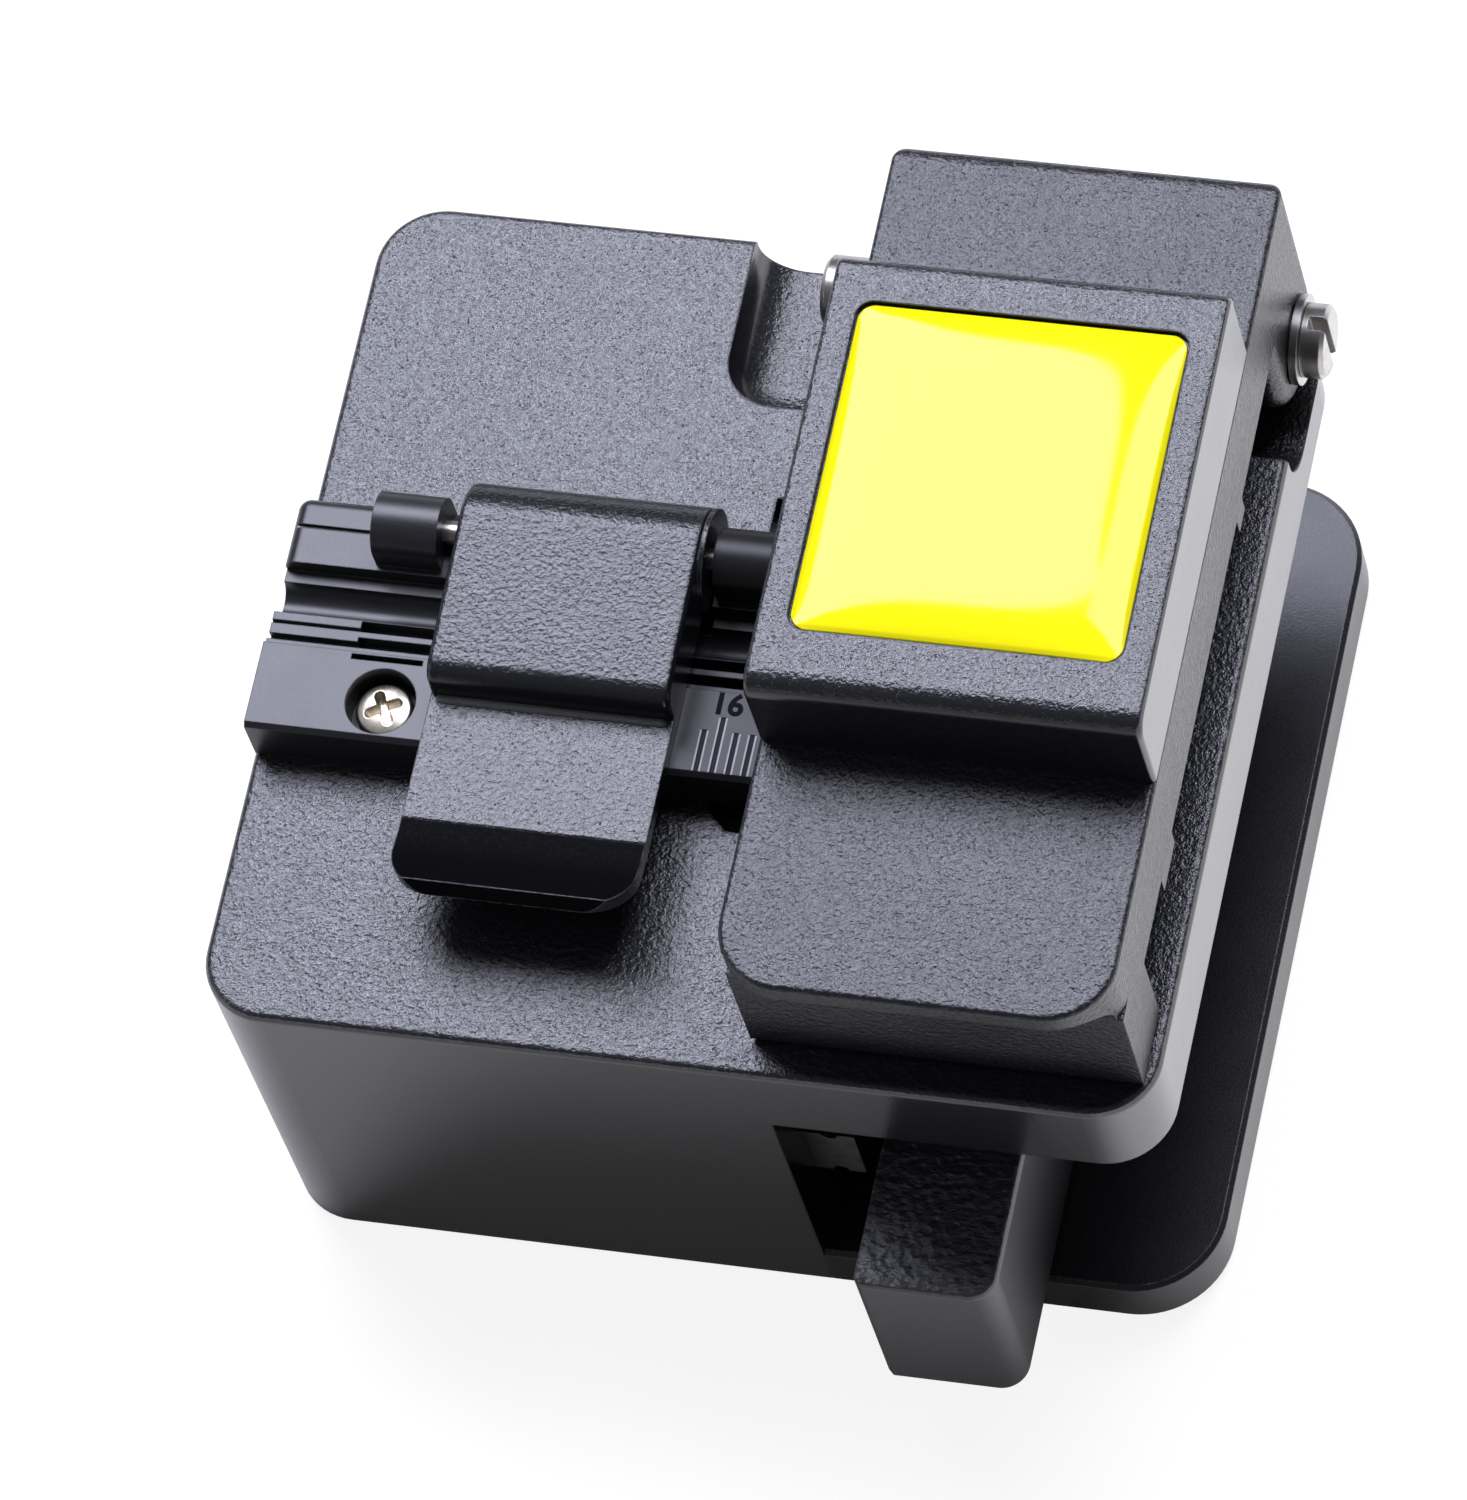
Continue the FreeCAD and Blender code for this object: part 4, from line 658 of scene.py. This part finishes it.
low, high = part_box("holder_clamp")
beadHeight = at(0, beadLook["line"], beadLook["height"])
beadStart = Vector((low.x + beadLook["inset"] * mm, beadHeight.y, beadHeight.z))
beadEnd = Vector((high.x - 2 * beadLook["inset"] * mm, beadHeight.y, beadHeight.z))
# painted highlight: the bead's light grey makes it read as a bright line
beadPaintedHighlight = smoothBlack("beadPaintedHighlight", (0.10, 0.10, 0.11), (0.20, 0.20, 0.215), 0.25, (0.3, 0.3, 0.31), 0.5)
beadGrid = barGrid(beadStart, beadEnd, beadLook["radius"] * mm)
surface("clampBead", [beadGrid], beadPaintedHighlight, "holder_clamp")


# holder plate: satin black, darkened right of the clamp as painted shade, with short scale lines cut in
# from its front edge
scaleLook = {
    "first": 28.42,
    "pitch": 1.0,
    "lines": 4,
    "width": 0.27,
    "front": 16.5,
    "back": 20.55,
    "long": 21.5,
    "longLine": 1,
    "bank": 0.13,
    "bankColour": (0.2, 0.2, 0.22),
    "sunk": (0.004, 0.004, 0.005),
    # painted shade: from here rightward the plate is darkened where the clamp and lid shade it
    "shadeFrom": 26.4,
    "dull": 0.55,
    "base": (0.008, 0.008, 0.010),
    "light": (0.016, 0.016, 0.020),
    # edges rubbed bright, partly a painted highlight
    "rubbedAndHighlight": (0.12, 0.12, 0.13),
    "roughness": 0.3,
    "specular": 0.6,
}


def holderFinish(look):
    graph = Graph("holderBlack")
    x, y, z = graph.axes(graph.where())
    upward = graph.facing()[2].rise(0.7, 0.95)
    fine = graph.noise(0.14, 2, 0.5)
    cloud = graph.noise(4, 3, 0.6)
    scuff = graph.noise(0.9, 4, 0.7, (0.25, 1, 1))
    soft, rim = graph.edges(0.1)
    grooves, banks = 0, 0
    for index in range(look["lines"]):
        middle = at(look["first"] + index * look["pitch"], 0, 0).x
        end = look["long"] if index == look["longLine"] else look["back"]
        half = look["width"] * mm / 2
        across = x.within(middle - half, middle + half, 0.03 * mm)
        along = y.within(at(0, look["front"], 0).y, at(0, end, 0).y, 0.05 * mm)
        grooves = across * along + grooves
        bank = half + look["bank"] * mm
        banks = x.within(middle - bank, middle + bank, 0.03 * mm) * along + banks
    grooves = grooves * upward
    banks = banks * upward
    colour = graph.blend(fine.rise(0.25, 0.8) * 0.7 + cloud * 0.3, look["base"], look["light"])
    # edges rubbed bright, partly a painted highlight
    colour = graph.blend(rim * scuff.rise(0.3, 0.6) * 0.7, colour, look["rubbedAndHighlight"])
    colour = graph.blend(banks * 0.8, colour, look["bankColour"])
    rough = look["roughness"] + fine * 0.08 + cloud * 0.06
    normal = graph.bump(fine * 0.1 - grooves * 4, 0.04, soft)
    gloss = graph.shader(
        Base_Color=colour, Roughness=rough, Specular_IOR_Level=look["specular"], Normal=normal,
    )
    dark = graph.shader(Base_Color=look["sunk"], Roughness=0.7, Specular_IOR_Level=0.1)
    # painted shade right of the clamp, kept off the banks
    paintedShade = x.rise(at(look["shadeFrom"], 0, 0).x, at(look["shadeFrom"] + 1, 0, 0).x) * (1 - banks)
    return graph.done(graph.over(grooves * 0.95 + paintedShade * (1 - grooves) * look["dull"], gloss, dark))


dress(holderFinish(scaleLook), "holder_plate")


# the number over the long scale line, sunk and blackened
numberLook = {"text": "16", "size": 2.0, "bold": 0.03, "place": (28.5, 21.75, 32.863)}


def flatText(look, name, material, body):
    # flat letters in the built-in font, scaled to millimetres and laid at their place
    words = bpy.data.curves.new(name, "FONT")
    words.body = look["text"]
    words.offset = look["bold"]
    carrier = added(name, words)
    bpy.context.view_layer.update()
    mesh = bpy.data.meshes.new_from_object(carrier)
    bpy.data.objects.remove(carrier)
    points = np.empty(len(mesh.vertices) * 3)
    mesh.vertices.foreach_get("co", points)
    points = points.reshape(-1, 3) * look["size"] * mm + np.array(at(*look["place"]))
    mesh.vertices.foreach_set("co", points.ravel())
    mesh.materials.clear()
    return fitted(name, mesh, material, body)


numberBlack = rubber("numberBlack", (0.003, 0.003, 0.004), (0.006, 0.006, 0.007), specular=0.1)
flatText(numberLook, "scaleNumber", numberBlack, "housing")
print("clamp bead and scale made")


# floor: matte white, wide enough to fill every view
floorLook = {
    "reach": 6.0,
    "matte": (0.88, 0.85, 0.79),
    "glow": 1.18,
    "glowShare": 0.74,
    "sideGlow": 1.9,
    "sideTint": (0.96, 0.96, 1.0),
    "sideStart": 0.020,
    "sideSoft": 0.020,
}


def floorFinish(look):
    # matte white that keeps the shadow, brighter for the camera; reflections to the right see a glowing
    # strip, a painted light that is no lamp
    graph = Graph("floorWhite")
    path = graph.node("LightPath")
    glossy = Wire(graph, path.socket.node.outputs["Is Glossy Ray"])
    seen = path.math("MAXIMUM", path, Wire(graph, path.socket.node.outputs["Is Transmission Ray"]))
    rightward = graph.axes(graph.where())[0].rise(look["sideStart"], look["sideStart"] + look["sideSoft"])
    matte = graph.node("BsdfDiffuse", sockets={"Color": (*look["matte"], 1)})
    glow = graph.node("Emission", sockets={"Color": (1, 1, 1, 1), "Strength": look["glow"]})
    # painted light: this emission is seen only by reflections
    reflectedGlow = graph.node("Emission", sockets={"Color": (*look["sideTint"], 1), "Strength": look["sideGlow"]})
    both = graph.over(seen * look["glowShare"], matte, glow)
    return graph.done(graph.over(glossy * rightward, both, reflectedGlow))


floorMesh = bpy.data.meshes.new("floor")
reach = floorLook["reach"]
floorCorners = [(-reach, -reach, 0), (reach, -reach, 0), (reach, reach, 0), (-reach, reach, 0)]
floorMesh.from_pydata(floorCorners, [], [(0, 1, 2, 3)])
floorMesh.materials.append(floorFinish(floorLook))
floor = added("floor", floorMesh)

# the world is dim for what the object mirrors, and white behind it
worldLook = {"ambient": 0.16, "tint": (0.94, 0.96, 1.0)}
world = bpy.data.worlds.new("studio")
bpy.context.scene.world = world
world.use_nodes = True
sky = world.node_tree
background = sky.nodes["Background"]
background.inputs["Color"].default_value = (*worldLook["tint"], 1)
lightPath = sky.nodes.new("ShaderNodeLightPath")
strength = sky.nodes.new("ShaderNodeMapRange")
sky.links.new(lightPath.outputs["Is Camera Ray"], strength.inputs["Value"])
strength.inputs["To Min"].default_value = worldLook["ambient"]
strength.inputs["To Max"].default_value = 1.0
sky.links.new(strength.outputs[0], background.inputs["Strength"])

# name: place, aim, width, height, power, colour
lamps = {
    "backSoft": ((-0.25, 0.35, 0.66), (0.0, 0.0, 0.03), 0.35, 0.42, 5.9, (0.80, 0.82, 1.0)),
    "rightSoft": ((0.17, 0.35, 0.66), (0.0, 0.0, 0.03), 0.28, 0.46, 4.0, (0.84, 0.86, 1.0)),
    "leftFill": ((-0.75, -0.30, 0.40), (0.0, 0.0, 0.02), 0.30, 0.30, 0.8, (0.92, 0.96, 1.0)),
}
for name, (place, aim, width, height, power, colour) in lamps.items():
    data = bpy.data.lights.new(name, "AREA")
    data.shape = "RECTANGLE"
    data.size, data.size_y = width, height
    data.energy = power
    data.color = colour
    lamp = added(name, data)
    lamp.location = place
    lamp.rotation_euler = (Vector(aim) - Vector(place)).to_track_quat("-Z", "Y").to_euler()

cameraLook = {
    "place": (0.17943, -0.31369, 0.68737),
    "turn": (27.0726, 9.7456, 11.8172),
    "lens": 298.157,
    "sensor": 36,
    "nearest": 0.01,
}
cameraData = bpy.data.cameras.new("camera")
cameraData.sensor_width = cameraLook["sensor"]
cameraData.sensor_fit = "AUTO"
cameraData.lens = cameraLook["lens"]
cameraData.clip_start = cameraLook["nearest"]
camera = added("camera", cameraData)
camera.location = cameraLook["place"]
camera.rotation_euler = [math.radians(angle) for angle in cameraLook["turn"]]
bpy.context.scene.camera = camera
bpy.context.scene.view_settings.view_transform = "Standard"
print("lights and camera set")
